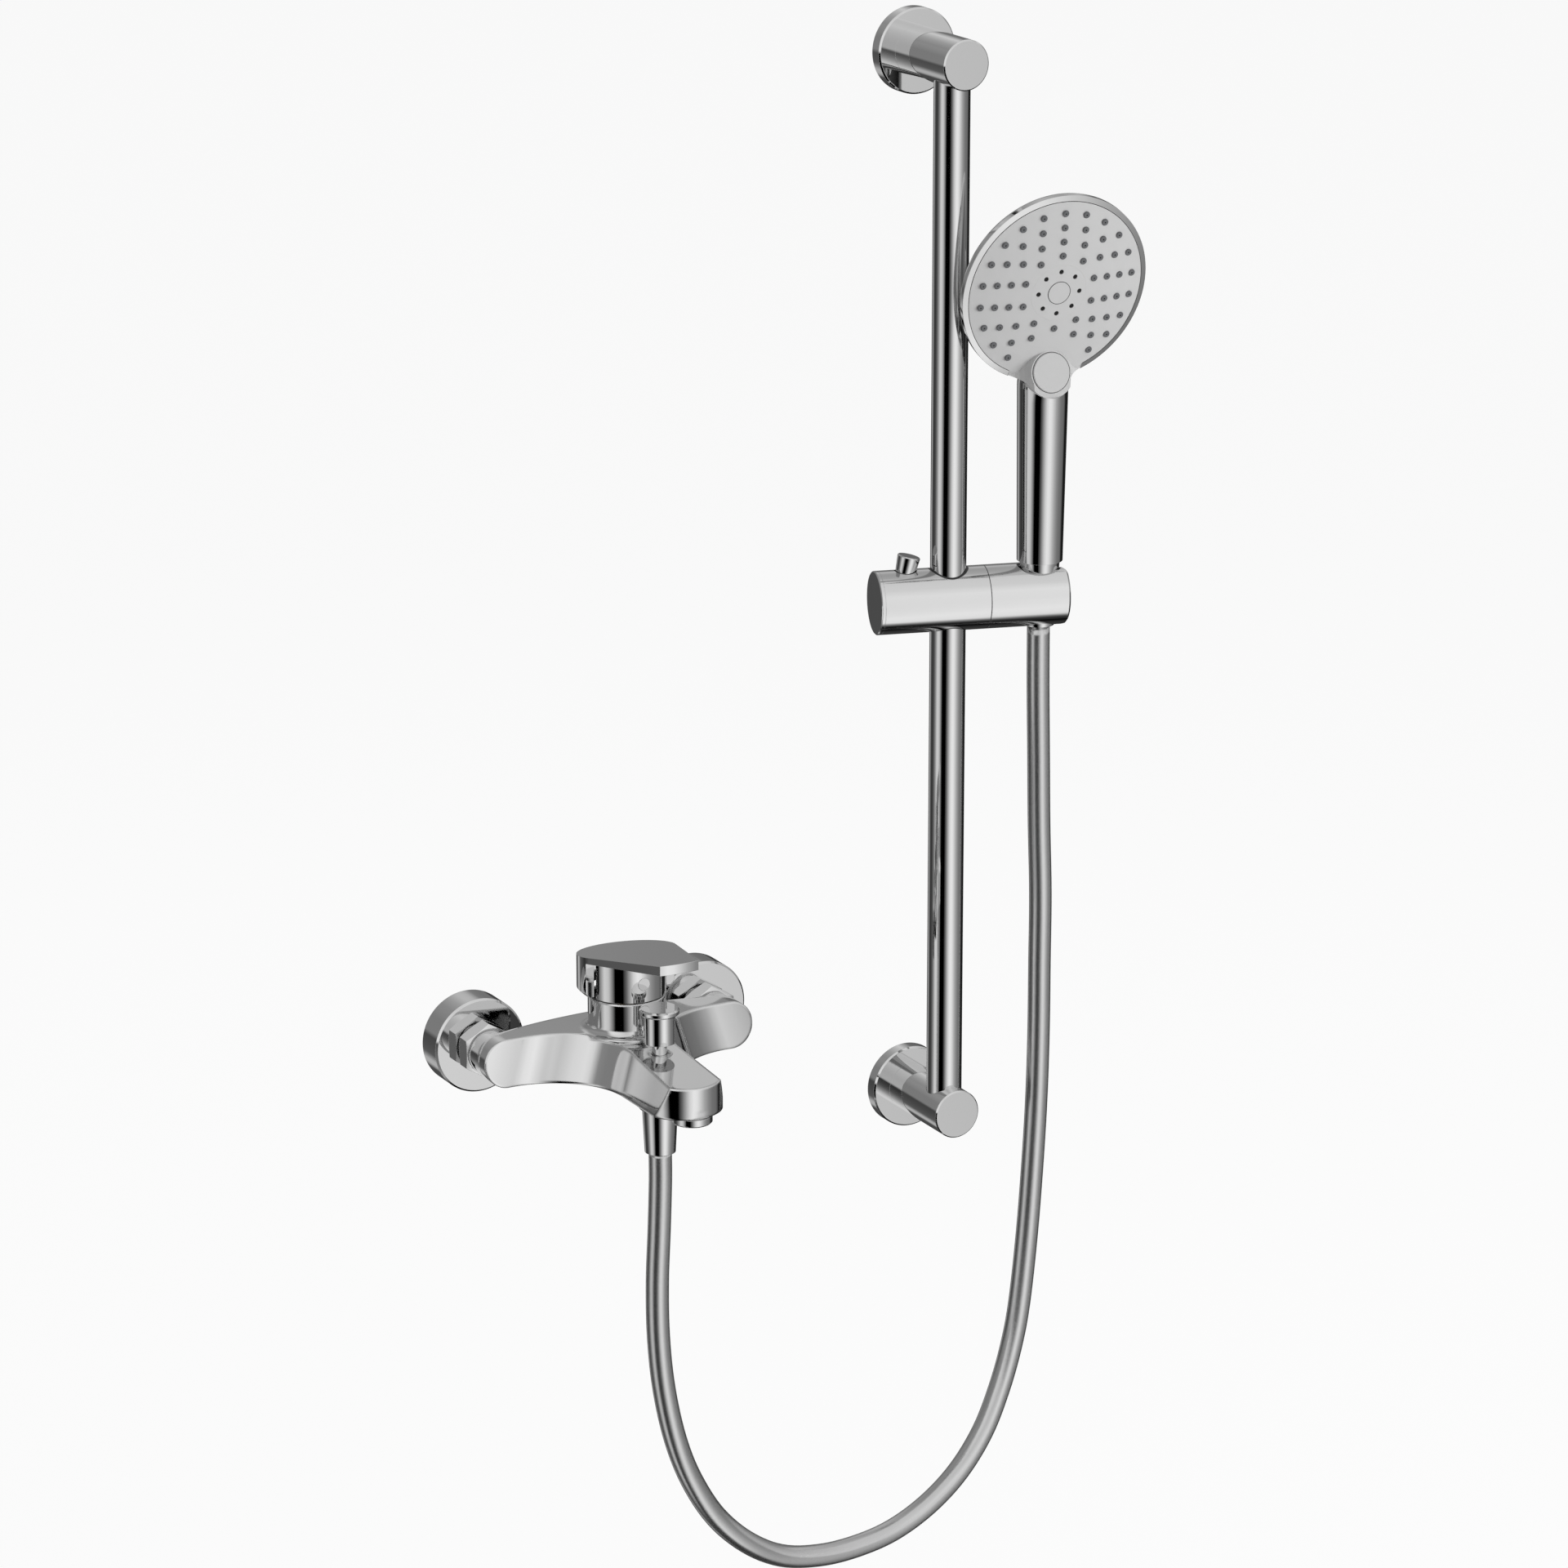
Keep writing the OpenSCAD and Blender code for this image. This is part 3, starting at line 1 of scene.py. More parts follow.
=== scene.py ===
# A wall-mounted bath and shower mixer of chromed brass, with its rail, hose and hand shower.
# The CAD solids are the frame; this script gives them their finishes and makes the hose,
# the nozzle tips and the studio around them. All lengths are in metres.
import math
import bpy
import bmesh
from mathutils import Matrix, Vector


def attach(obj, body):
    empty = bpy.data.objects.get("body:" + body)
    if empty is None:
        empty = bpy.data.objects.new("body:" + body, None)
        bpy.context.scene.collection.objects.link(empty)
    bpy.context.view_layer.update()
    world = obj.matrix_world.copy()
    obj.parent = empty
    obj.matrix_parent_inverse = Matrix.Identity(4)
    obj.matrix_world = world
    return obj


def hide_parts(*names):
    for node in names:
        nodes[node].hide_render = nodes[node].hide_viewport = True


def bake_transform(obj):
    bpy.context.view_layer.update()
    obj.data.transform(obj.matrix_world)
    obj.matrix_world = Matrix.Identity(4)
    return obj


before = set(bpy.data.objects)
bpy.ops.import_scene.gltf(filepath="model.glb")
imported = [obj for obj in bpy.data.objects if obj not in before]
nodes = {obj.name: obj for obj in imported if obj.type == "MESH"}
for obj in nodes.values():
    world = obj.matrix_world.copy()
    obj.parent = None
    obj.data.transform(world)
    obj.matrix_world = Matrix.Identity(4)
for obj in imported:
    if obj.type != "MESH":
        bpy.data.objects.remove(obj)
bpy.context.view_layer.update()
scene = bpy.context.scene
scene.view_settings.view_transform = "Standard"

# The camera stands left of the mixer, above the spout and well back, as for the photograph.
# A long lens keeps the rail's two brackets almost the same size.
camera_at = Vector((-1.47712, -3.03417, 1.15783))
camera_turn = math.radians(28.08)
camera_dip = math.radians(16.67)
lens_mm = 134.478
sensor_mm = 36.0
camera_data = bpy.data.cameras.new("camera")
camera_data.lens = lens_mm
camera_data.sensor_fit = "HORIZONTAL"
camera_data.sensor_width = sensor_mm
camera = bpy.data.objects.new("camera", camera_data)
camera.location = camera_at
camera.rotation_euler = (math.pi / 2 - camera_dip, 0, -camera_turn)
scene.collection.objects.link(camera)
scene.camera = camera

# The shower hose is a smooth PVC tube with a silver foil under a clear skin.
# It hangs from the lower nut in one free loop and rises to the tapered nut in the holder.
# It is cut in four spans at three heights on its rise. Its route is in mm.
hose_r = 0.007
hose_sides = 32
hose_steps = 6
hose_route = [
    (0, -109, -51), (0, -109, -70), (-1, -109, -100), (-2, -108, -135), (-1, -107, -170),
    (3, -106, -205), (11, -105, -240), (23, -103, -270), (41, -100, -299), (64, -97, -322),
    (90, -93, -338), (118, -90, -345), (146, -87, -346), (174, -84, -342), (201, -81, -331),
    (225, -77, -315), (244, -74, -293), (257, -72, -267), (266, -71, -240), (272, -70, -213),
    (278, -68, -170), (282, -67, -125), (285, -66, -80), (286, -66, -35), (286, -66, 10),
    (286, -66, 55), (285, -65, 100), (284, -65, 145), (283, -65, 190), (282.75, -64.9, 227.1)]


def linear(hex_colour):
    """The linear colour, with alpha, of an sRGB hex value."""
    parts = [int(hex_colour[i:i + 2], 16) / 255 for i in (1, 3, 5)]
    return [c / 12.92 if c <= 0.04045 else ((c + 0.055) / 1.055) ** 2.4 for c in parts] + [1.0]


def add(tree, kind, inputs=None, **settings):
    """A new node with its settings, its values and the links into it."""
    made = tree.nodes.new("ShaderNode" + kind)
    for key, value in settings.items():
        setattr(made, key, value)
    for key, value in (inputs or {}).items():
        if isinstance(value, bpy.types.NodeSocket):
            tree.links.new(value, made.inputs[key])
        else:
            made.inputs[key].default_value = value
    return made


def finish_of(name, colour, metallic, roughness):
    """A material with its plain values, its node tree and its surface shader."""
    made = bpy.data.materials.new(name)
    made.use_nodes = True
    skin = made.node_tree.nodes["Principled BSDF"]
    skin.inputs["Base Color"].default_value = linear(colour)
    skin.inputs["Metallic"].default_value = metallic
    skin.inputs["Roughness"].default_value = roughness
    return made, made.node_tree, skin


def piece(name, mesh, material):
    """An object for a mesh, with its material."""
    if isinstance(mesh, bmesh.types.BMesh):
        grown = mesh
        mesh = bpy.data.meshes.new(name)
        grown.to_mesh(mesh)
        grown.free()
    made = bpy.data.objects.new(name, mesh)
    made.data.materials.append(material)
    scene.collection.objects.link(made)
    return made


# Silver PVC: a foil tube under clear vinyl, so a metal grey with a soft, wide highlight.
# Its grain is about 0.4 mm and is drawn at 1.3 mm, because it is too fine to show otherwise.
silver_pvc, tree, skin = finish_of("silver_pvc_extruded", "#c8c8c8", 0.9, 0.21)
place = add(tree, "TexCoord")
grain = add(tree, "TexNoise", {"Vector": place.outputs["Object"], "Scale": 770.0, "Detail": 3.0})
tone = add(tree, "MapRange", {"Value": grain.outputs["Fac"], "To Min": 0.16, "To Max": 0.27})
tree.links.new(tone.outputs["Result"], skin.inputs["Roughness"])
relief = add(tree, "Bump", {"Height": grain.outputs["Fac"], "Strength": 0.08, "Distance": 0.0003})
tree.links.new(relief.outputs["Normal"], skin.inputs["Normal"])


def smooth_path(points, steps):
    """Points of a smooth curve through the given ones."""
    ends = [points[0] * 2 - points[1]] + points + [points[-1] * 2 - points[-2]]
    path = []
    for a, b, c, d in zip(ends, ends[1:], ends[2:], ends[3:]):
        for k in range(steps):
            t = k / steps
            path.append(0.5 * (2 * b + (c - a) * t + (2 * a - 5 * b + 4 * c - d) * t * t
                               + (3 * b - a - 3 * c + d) * t ** 3))
    return path + [points[-1]]


def tube_rings(path, radius, sides):
    """Rings of points round a path, turned as little as the path allows."""
    rings = []
    across = Vector((1, 0, 0))
    for i, point in enumerate(path):
        along = (path[min(i + 1, len(path) - 1)] - path[max(i - 1, 0)]).normalized()
        across = (across - along * across.dot(along)).normalized()
        other = along.cross(across)
        turns = [2 * math.pi * k / sides for k in range(sides)]
        rings.append([point + radius * (math.cos(a) * across + math.sin(a) * other) for a in turns])
    return rings


def skin_rings(rings, first_cap=False, last_cap=False):
    """A mesh over a row of rings, closed at an end where asked."""
    grown = bmesh.new()
    rows = [[grown.verts.new(p) for p in ring] for ring in rings]
    for low, high in zip(rows, rows[1:]):
        for k in range(len(low)):
            grown.faces.new((low[k], low[(k + 1) % len(low)], high[(k + 1) % len(low)], high[k]))
    if first_cap:
        grown.faces.new(rows[0][::-1])
    if last_cap:
        grown.faces.new(rows[-1])
    for face in grown.faces:
        face.smooth = len(face.verts) == 4
    return grown


hose_path = smooth_path([Vector(p) / 1000 for p in hose_route], hose_steps)
hose_skin = tube_rings(hose_path, hose_r, hose_sides)
rise_x = 0.28
cut_heights = (-0.12, 0.06, 0.205)
rising = [i for i, p in enumerate(hose_path) if p.x > rise_x]
hose_cuts = [min(rising, key=lambda i: abs(hose_path[i].z - z)) for z in cut_heights]
hose_spans = [(0, hose_cuts[0]), (hose_cuts[0], hose_cuts[1]), (hose_cuts[1], hose_cuts[2]),
              (hose_cuts[2], len(hose_path) - 1)]
hose_names = ["hose_loop", "hose_rise", "hose_neck", "hose_top_end"]
hose_pieces = []
for name, (first, last) in zip(hose_names, hose_spans):
    span = skin_rings(hose_skin[first:last + 1], name == "hose_loop", name == "hose_top_end")
    hose_pieces.append(piece(name, span, silver_pvc))
hose_loop, hose_rise, hose_neck, hose_top_end = hose_pieces
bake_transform(hose_loop)
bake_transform(hose_rise)
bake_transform(hose_neck)
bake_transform(hose_top_end)
for made, (first, last) in zip(hose_pieces, hose_spans):
    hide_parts("hose")
    span = hose_path[first:last + 1]

# Two wall unions of chromed brass carry the water, under chromed rosettes.
# Hexagon nuts pull the body's inlets against the unions on rubber washers.
# Polished chrome: a bright plate on buffed brass, a mirror with a faint haze from the wheel
# in patches about 17 mm wide.
chrome, tree, skin = finish_of("polished_chrome_on_brass", "#d6d6d6", 1.0, 0.04)
place = add(tree, "TexCoord")
haze = add(tree, "TexNoise", {"Vector": place.outputs["Object"], "Scale": 60.0, "Detail": 2.0})
sheen = add(tree, "MapRange", {"Value": haze.outputs["Fac"], "To Min": 0.02, "To Max": 0.07})
tree.links.new(sheen.outputs["Result"], skin.inputs["Roughness"])
edge = add(tree, "Bevel", {"Radius": 0.0004}, samples=4)
tree.links.new(edge.outputs["Normal"], skin.inputs["Normal"])

# Black EPDM rubber: moulded washers and seals with a dull skin, dusty in specks about 2.5 mm apart.
rubber, tree, skin = finish_of("black_rubber_moulded", "#1d1d1e", 0.0, 0.7)
place = add(tree, "TexCoord")
dust = add(tree, "TexNoise", {"Vector": place.outputs["Object"], "Scale": 400.0})
tone = add(tree, "MapRange", {"Value": dust.outputs["Fac"], "To Min": 0.6, "To Max": 0.8})
tree.links.new(tone.outputs["Result"], skin.inputs["Roughness"])


def dress(material, *names):
    """Gives CAD nodes their material."""
    for name in names:
        nodes[name].material_slots[0].material = material


dress(chrome, "left_wall_union", "right_wall_union", "inlet_nipples", "left_rosette",
      "right_rosette", "left_union_nut", "right_union_nut")
dress(rubber, "inlet_washers")

# The mixer body is one brass casting, ground, buffed and chromed.
# Its arms sweep forward into the spout, and the cartridge stands in its neck.
# Cast chrome: the same plate over edges that the buffing wheel has rounded to about 2.5 mm.
# Its haze lies in patches about 25 mm wide.
cast_chrome, tree, skin = finish_of("polished_chrome_cast", "#d6d6d6", 1.0, 0.05)
place = add(tree, "TexCoord")
haze = add(tree, "TexNoise", {"Vector": place.outputs["Object"], "Scale": 40.0, "Detail": 2.0})
sheen = add(tree, "MapRange", {"Value": haze.outputs["Fac"], "To Min": 0.03, "To Max": 0.09})
tree.links.new(sheen.outputs["Result"], skin.inputs["Roughness"])
edge = add(tree, "Bevel", {"Radius": 0.0025}, samples=8)
tree.links.new(edge.outputs["Normal"], skin.inputs["Normal"])
dress(cast_chrome, "mixer_body")

# The cartridge is a moulded housing with two ceramic discs, clamped by a brass nut.
# A turret in it turns with the lever, and a steel pin lets the spindle rock.
# White acetal: moulded, with a soft gloss and flow marks about 8 mm apart.
acetal, tree, skin = finish_of("white_acetal_moulded", "#e9e8e3", 0.0, 0.38)
place = add(tree, "TexCoord")
flow = add(tree, "TexNoise", {"Vector": place.outputs["Object"], "Scale": 120.0})
tone = add(tree, "MapRange", {"Value": flow.outputs["Fac"], "To Min": 0.32, "To Max": 0.46})
tree.links.new(tone.outputs["Result"], skin.inputs["Roughness"])

# Alumina ceramic: ground and lapped flat, off-white with a glassy face and lapping marks 3 mm wide.
alumina, tree, skin = finish_of("alumina_lapped", "#efece4", 0.0, 0.12)
place = add(tree, "TexCoord")
lapped = add(tree, "TexNoise", {"Vector": place.outputs["Object"], "Scale": 300.0})
tone = add(tree, "MapRange", {"Value": lapped.outputs["Fac"], "To Min": 0.08, "To Max": 0.18})
tree.links.new(tone.outputs["Result"], skin.inputs["Roughness"])

# Zinc-plated steel: turned or drawn, a cool grey with a light grain 2 mm wide.
steel, tree, skin = finish_of("zinc_plated_steel", "#b7babd", 1.0, 0.3)
place = add(tree, "TexCoord")
drawn = add(tree, "TexNoise", {"Vector": place.outputs["Object"], "Scale": 500.0})
tone = add(tree, "MapRange", {"Value": drawn.outputs["Fac"], "To Min": 0.22, "To Max": 0.38})
tree.links.new(tone.outputs["Result"], skin.inputs["Roughness"])

# Machined brass: a turned bar with fine tool rings about 0.3 mm apart, drawn at 0.6 mm.
brass, tree, skin = finish_of("machined_brass", "#c9a255", 1.0, 0.25)
place = add(tree, "TexCoord")
rings = add(tree, "TexWave", {"Vector": place.outputs["Object"], "Scale": 520.0, "Distortion": 0.6},
            bands_direction="Y")
relief = add(tree, "Bump", {"Height": rings.outputs["Fac"], "Strength": 0.2, "Distance": 0.0002})
tree.links.new(relief.outputs["Normal"], skin.inputs["Normal"])

dress(acetal, "cartridge_housing", "cartridge_turret")
dress(alumina, "ceramic_seat_disc", "ceramic_control_disc")
dress(brass, "cartridge_lock_nut")
dress(steel, "spindle_pin")

# The lever is a chromed zinc casting whose hood covers the neck.
# A grub screw behind a small plug clamps it on the brass spindle.
dress(chrome, "lever", "lever_plug")
dress(brass, "lever_spindle")
dress(steel, "lever_screw")

# The diverter is a chromed knob on a turned brass rod that runs through the spout in a chromed bush.
# Pulled up, the rod's valve disc with its rubber seal sends the water up the hose.
dress(chrome, "diverter_knob", "diverter_rod", "diverter_bush")
dress(rubber, "diverter_seal")

# The aerator is a turned brass ring, chromed, that screws up into the spout on a rubber seal.
# It holds a moulded strainer with two rings of small holes.
dress(chrome, "aerator_ring")
dress(acetal, "aerator_insert")
dress(rubber, "aerator_seal")

# The shower outlet is a turned brass nipple screwed into the underside of the spout.
# The hose's chromed nut clamps a rubber washer against it.
dress(brass, "outlet_nipple")
dress(chrome, "hose_nut_lower")
dress(rubber, "hose_washer_lower")

# The rail is a chromed brass tube with moulded plugs in its ends, held between two turned posts.
# Grub screws fix the posts to steel wall plates, which round chromed flanges cover.
dress(chrome, "rail_tube", "upper_flange", "lower_flange", "upper_post", "lower_post")
dress(acetal, "rail_plugs")
dress(steel, "wall_plates", "bracket_grub_screws")

# The slider is chromed plastic with an acetal bush on the rail.
# A sprung button on its top draws a rubber brake shoe away from the rail.
# Chrome on ABS: plated mouldings, a mirror with the gentlest waviness of moulded walls,
# about 22 mm from crest to crest.
plated_abs, tree, skin = finish_of("chrome_plated_abs", "#d4d4d4", 1.0, 0.05)
place = add(tree, "TexCoord")
sink = add(tree, "TexNoise", {"Vector": place.outputs["Object"], "Scale": 45.0})
edge = add(tree, "Bevel", {"Radius": 0.0004}, samples=4)
relief = add(tree, "Bump", {"Height": sink.outputs["Fac"], "Strength": 0.02, "Distance": 0.002,
                            "Normal": edge.outputs["Normal"]})
tree.links.new(relief.outputs["Normal"], skin.inputs["Normal"])
dress(plated_abs, "slider_body", "slider_end_cap", "slider_button")

# Black acetal: a moulded bush that slides on the rail, dull and waxy with flow marks 5 mm apart.
black_acetal, tree, skin = finish_of("black_acetal_moulded", "#202021", 0.0, 0.45)
place = add(tree, "TexCoord")
flow = add(tree, "TexNoise", {"Vector": place.outputs["Object"], "Scale": 200.0})
tone = add(tree, "MapRange", {"Value": flow.outputs["Fac"], "To Min": 0.38, "To Max": 0.52})
tree.links.new(tone.outputs["Result"], skin.inputs["Roughness"])
dress(black_acetal, "slider_bush")
dress(rubber, "brake_shoe")
dress(steel, "slider_button_spring", "brake_spring")

# The holder is a chromed moulding with a slotted, tapered seat for the hose's upper nut.
# It turns on a steel axle at the slider's right end, held by a screw and a friction washer.
dress(plated_abs, "holder")
dress(steel, "holder_axle", "holder_screw", "friction_washer")

# The hand shower's shell is one chromed moulding, handle and head together.
# Its tail takes the hose's tapered nut, which sits in the holder.
dress(plated_abs, "handset_shell", "hose_nut_upper")
dress(brass, "handset_tail")
dress(rubber, "hose_washer_upper")

# The spray face is satin grey ABS, moulded in one with the tongue round the spray button.
# Spark-eroded grain about 0.15 mm wide, drawn at 0.8 mm, takes the gloss off it.
grey_abs, tree, skin = finish_of("grey_abs_moulded", "#bfbfbf", 0.0, 0.42)
place = add(tree, "TexCoord")
grain = add(tree, "TexNoise", {"Vector": place.outputs["Object"], "Scale": 1250.0})
relief = add(tree, "Bump", {"Height": grain.outputs["Fac"], "Strength": 0.08, "Distance": 0.0002})
tree.links.new(relief.outputs["Normal"], skin.inputs["Normal"])
dress(grey_abs, "handset_face", "jet_insert", "centre_cap", "spray_button")
dress(black_acetal, "spray_plate")
dress(steel, "spray_button_spring")

# The nozzles belong to one silicone mat that is moulded behind the face and pushed through its holes.
# Grey silicone: soft, dull and darker than the face, with a bloom in patches about 1.7 mm wide.
silicone, tree, skin = finish_of("grey_silicone_moulded", "#606163", 0.0, 0.6)
place = add(tree, "TexCoord")
bloom = add(tree, "TexNoise", {"Vector": place.outputs["Object"], "Scale": 600.0})
tone = add(tree, "MapRange", {"Value": bloom.outputs["Fac"], "To Min": 0.5, "To Max": 0.7})
tree.links.new(tone.outputs["Result"], skin.inputs["Roughness"])
dress(silicone, "nozzle_mat")

# Each silicone nozzle has a rolled collar, in four rings that leave the tongue free.
# Its fine bore is painted shade, a dark disc on the nozzle's tip.
# The eight jets in the middle are painted shade: each has a dark disc set inside its hole, so it looks
# dark.
# The mouldings of the head meet in shadow gaps, about 0.15 mm wide and drawn at 0.3 mm to show:
# one round the face, one round the spray button and one round the centre cap.
# Each gap is painted shade, a dark ribbon laid along the joint.
# Painted shade: a dull black that stands for the unlit depth of a joint or hole, with a trace of dust in
# specks 1 mm apart.
shade, tree, skin = finish_of("painted_shade_dark_gap", "#171717", 0.0, 0.8)
place = add(tree, "TexCoord")
dust = add(tree, "TexNoise", {"Vector": place.outputs["Object"], "Scale": 900.0})
tone = add(tree, "MapRange", {"Value": dust.outputs["Fac"], "To Min": 0.7, "To Max": 0.9})
tree.links.new(tone.outputs["Result"], skin.inputs["Roughness"])
slider_middle = (0.2273, -0.0505, 0.2466)
slider_yaw, holder_lean, hand_yaw = math.radians(-14.9), math.radians(1), math.radians(10.5)
seat_out = 0.0573
face_middle, face_tilt = (0, -0.0207, 0.1908), math.radians(102.7)
tongue_middle, tongue_tilt = (0, -0.0113, 0.1403), math.radians(78)
hand_at = (Matrix.Translation(slider_middle) @ Matrix.Rotation(slider_yaw, 4, "Z")
           @ Matrix.Rotation(holder_lean, 4, "X") @ Matrix.Translation((seat_out, 0, 0))
           @ Matrix.Rotation(hand_yaw, 4, "Z"))
face_at = hand_at @ Matrix.Translation(face_middle) @ Matrix.Rotation(face_tilt, 4, "X")
tongue_at = hand_at @ Matrix.Translation(tongue_middle) @ Matrix.Rotation(tongue_tilt, 4, "X")
tongue_below, tongue_clear = 0.05177, 0.0215
crown_r, crown_drop = 0.29, 0.0007
nozzle_rings, first_count, more_each = 4, 10, 4
nozzle_ring_r, nozzle_step, nozzle_high = 0.0237, 0.00867, 0.00082
bore_r, bore_deep, bore_sides = 0.0005, 0.0004, 12
merge = 0.00001
collar_r, collar_hole, collar_high, collar_sunk = 0.0021, 0.00142, 0.00078, 0.0001
collar_outline = ((collar_hole, -collar_sunk), (collar_r, -collar_sunk), (collar_r, 0.55 * collar_high),
                  (0.955 * collar_r, 0.8 * collar_high), (0.88 * collar_r, 0.95 * collar_high),
                  (0.78 * collar_r, collar_high), (collar_hole, 0.75 * collar_high))
collar_sides = 24
collar_turns = [2 * math.pi * k / collar_sides for k in range(collar_sides + 1)]
grown = skin_rings([[Vector((r * math.cos(a), r * math.sin(a), z)) for r, z in collar_outline]
                    for a in collar_turns])
bmesh.ops.remove_doubles(grown, verts=grown.verts, dist=merge)
bmesh.ops.recalc_face_normals(grown, faces=grown.faces)
one_collar = bpy.data.meshes.new("one_collar")
grown.to_mesh(one_collar)
grown.free()
# The bore discs and, below, the jet discs are painted shade: dark cylinders that stand for unlit holes.
hole_shade_discs, collars = bmesh.new(), bmesh.new()
for i in range(nozzle_rings):
    count, r = first_count + more_each * i, nozzle_ring_r + nozzle_step * i
    face_z = math.sqrt(crown_r ** 2 - r ** 2) - crown_r - crown_drop
    for k in range(count):
        a = 2 * math.pi * k / count
        at = Vector((r * math.sin(a), r * math.cos(a), face_z))
        if math.hypot(at.x, at.y + tongue_below) > tongue_clear:
            tip = at + Vector((0, 0, nozzle_high - bore_deep / 2))
            bmesh.ops.create_cone(hole_shade_discs, cap_ends=True, radius1=bore_r, radius2=bore_r, depth=bore_deep,
                                  segments=bore_sides, matrix=face_at @ Matrix.Translation(tip))
            first = len(collars.verts)
            collars.from_mesh(one_collar)
            collars.verts.ensure_lookup_table()
            bmesh.ops.transform(collars, matrix=face_at @ Matrix.Translation(at),
                                verts=collars.verts[first:])
bpy.data.meshes.remove(one_collar)
# Painted shade: a dark disc inside each jet hole makes the jet look deep and dark.
jet_count, jet_sides = 8, 24
jet_ring_r, jet_r, jet_shade_depth = 0.0135, 0.00146, 0.0006
for k in range(jet_count):
    a = 2 * math.pi * k / jet_count
    at = Vector((jet_ring_r * math.sin(a), jet_ring_r * math.cos(a), -crown_drop - 2 * jet_shade_depth))
    bmesh.ops.create_cone(hole_shade_discs, cap_ends=True, radius1=jet_r, radius2=jet_r, depth=jet_shade_depth,
                          segments=jet_sides, matrix=face_at @ Matrix.Translation(at))
nozzle_and_jet_painted_shade = piece("nozzle_and_jet_painted_shade", hole_shade_discs, shade)
nozzle_collars = piece("nozzle_collars", collars, silicone)
# Each gap is a painted-shade ribbon with its frame, radius, height and, where the tongue breaks it, the
# room it leaves.
gap_half = 0.00015
gap_parts = 240
gap_corners = ((-1, -1), (1, -1), (1, 1), (-1, 1))
gap_shade_pieces = []
for name, at, r, z, clear in (("face_gap", face_at, 0.05682, -0.00634, 0.0244),
                              ("spray_button_gap_painted_shade", tongue_at, 0.01226, 0.0, 0),
                              ("centre_cap_gap_painted_shade", face_at, 0.0072, -0.00078, 0)):
    turns = [math.pi + 2 * math.pi * k / gap_parts for k in range(gap_parts + 1)]
    open_turns = [a for a in turns if math.hypot(r * math.sin(a), r * math.cos(a) + tongue_below) > clear]
    rings = []
    for a in open_turns:
        rings.append([at @ Vector((math.sin(a) * (r + dr * gap_half), math.cos(a) * (r + dr * gap_half),
                                   z + dz * gap_half)) for dr, dz in gap_corners])
    grown = skin_rings(rings, clear > 0, clear > 0)
    if not clear:
        bmesh.ops.remove_doubles(grown, verts=grown.verts, dist=merge)
    bmesh.ops.recalc_face_normals(grown, faces=grown.faces)
    for face in grown.faces:
        face.smooth = False
    gap_shade_pieces.append(piece(name, grown, shade))
for made in [nozzle_and_jet_painted_shade, nozzle_collars] + gap_shade_pieces:
    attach(made, "handset")

# The studio has a white floor, a white surround and a tent of lit and black cloths.
# Only glossy surfaces see the tent, which gives the chrome its bright and dark bands.
floor_z, floor_half = -0.6, 9.0
floor_mat, tree, skin = finish_of("white_floor", "#f4f4f4", 0.0, 0.9)
rays = add(tree, "LightPath")
glow = add(tree, "Emission", {"Color": linear("#ffffff"), "Strength": 1.0})
share = add(tree, "Math", {0: rays.outputs["Is Camera Ray"], 1: 0.9}, operation="MULTIPLY")
both = add(tree, "MixShader", {0: share.outputs[0], 1: skin.outputs[0], 2: glow.outputs[0]})
tree.links.new(both.outputs[0], tree.nodes["Material Output"].inputs["Surface"])
grown = bmesh.new()
bmesh.ops.create_grid(grown, x_segments=8, y_segments=8, size=floor_half)
floor = piece("floor", grown, floor_mat)
floor.location.z = floor_z
floor.visible_glossy = False

tent_mat = bpy.data.materials.new("tent_cloths")
tent_mat.use_nodes = True
tree = tent_mat.node_tree
tree.nodes.clear()
place = add(tree, "TexCoord")
toward = add(tree, "VectorMath", {0: place.outputs["Object"]}, operation="NORMALIZE")
axes = add(tree, "SeparateXYZ", {0: toward.outputs[0]})
outward = add(tree, "Math", {0: axes.outputs["Y"], 1: -1.0}, operation="MULTIPLY")
bearing = add(tree, "Math", {0: axes.outputs["X"], 1: outward.outputs[0]}, operation="ARCTAN2")
round_share = add(tree, "MapRange", {"Value": bearing.outputs[0], "From Min": -math.pi,
                                     "From Max": math.pi})


def turn(degrees):
    """A bearing, from straight out of the wall toward the right, as a share of the circle."""
    return (degrees + 180.0) / 360.0


low_cloths = add(tree, "ValToRGB", {"Fac": round_share.outputs[0]})
high_cloths = add(tree, "ValToRGB", {"Fac": round_share.outputs[0]})
lift_share = add(tree, "MapRange", {"Value": axes.outputs["Z"], "From Min": -1.0})
back_roof = add(tree, "ValToRGB", {"Fac": lift_share.outputs[0]})
low_greys = [(turn(degrees), grey) for degrees, grey in (
    (-180, 0.08), (-172, 0.5), (-166, 0.5), (-158, 0.12), (-138, 0.035), (-121, 0.12), (-107, 0.38),
    (-95, 0.8), (-82, 0.7), (-71, 0.3), (-62, 0.0), (-38, 0.0), (-28, 0.15), (-18, 0.45), (-7, 0.83),
    (5, 1.05), (15, 0.99), (26, 0.76), (38, 0.5), (52, 0.32), (66, 0.22), (84, 0.18), (100, 0.003),
    (150, 0.05), (180, 0.08))]
high_greys = [(turn(degrees), grey) for degrees, grey in (
    (-180, 0.22), (-150, 0.25), (-100, 0.26), (-88, 0.3), (-76, 0.85), (-68, 0.95), (-50, 0.88),
    (-30, 0.7), (-11, 0.85), (7, 1.02), (25, 0.85), (45, 0.75), (85, 0.5), (110, 0.25), (143, 0.12),
    (152, 0.2), (160, 0.3), (180, 0.22))]
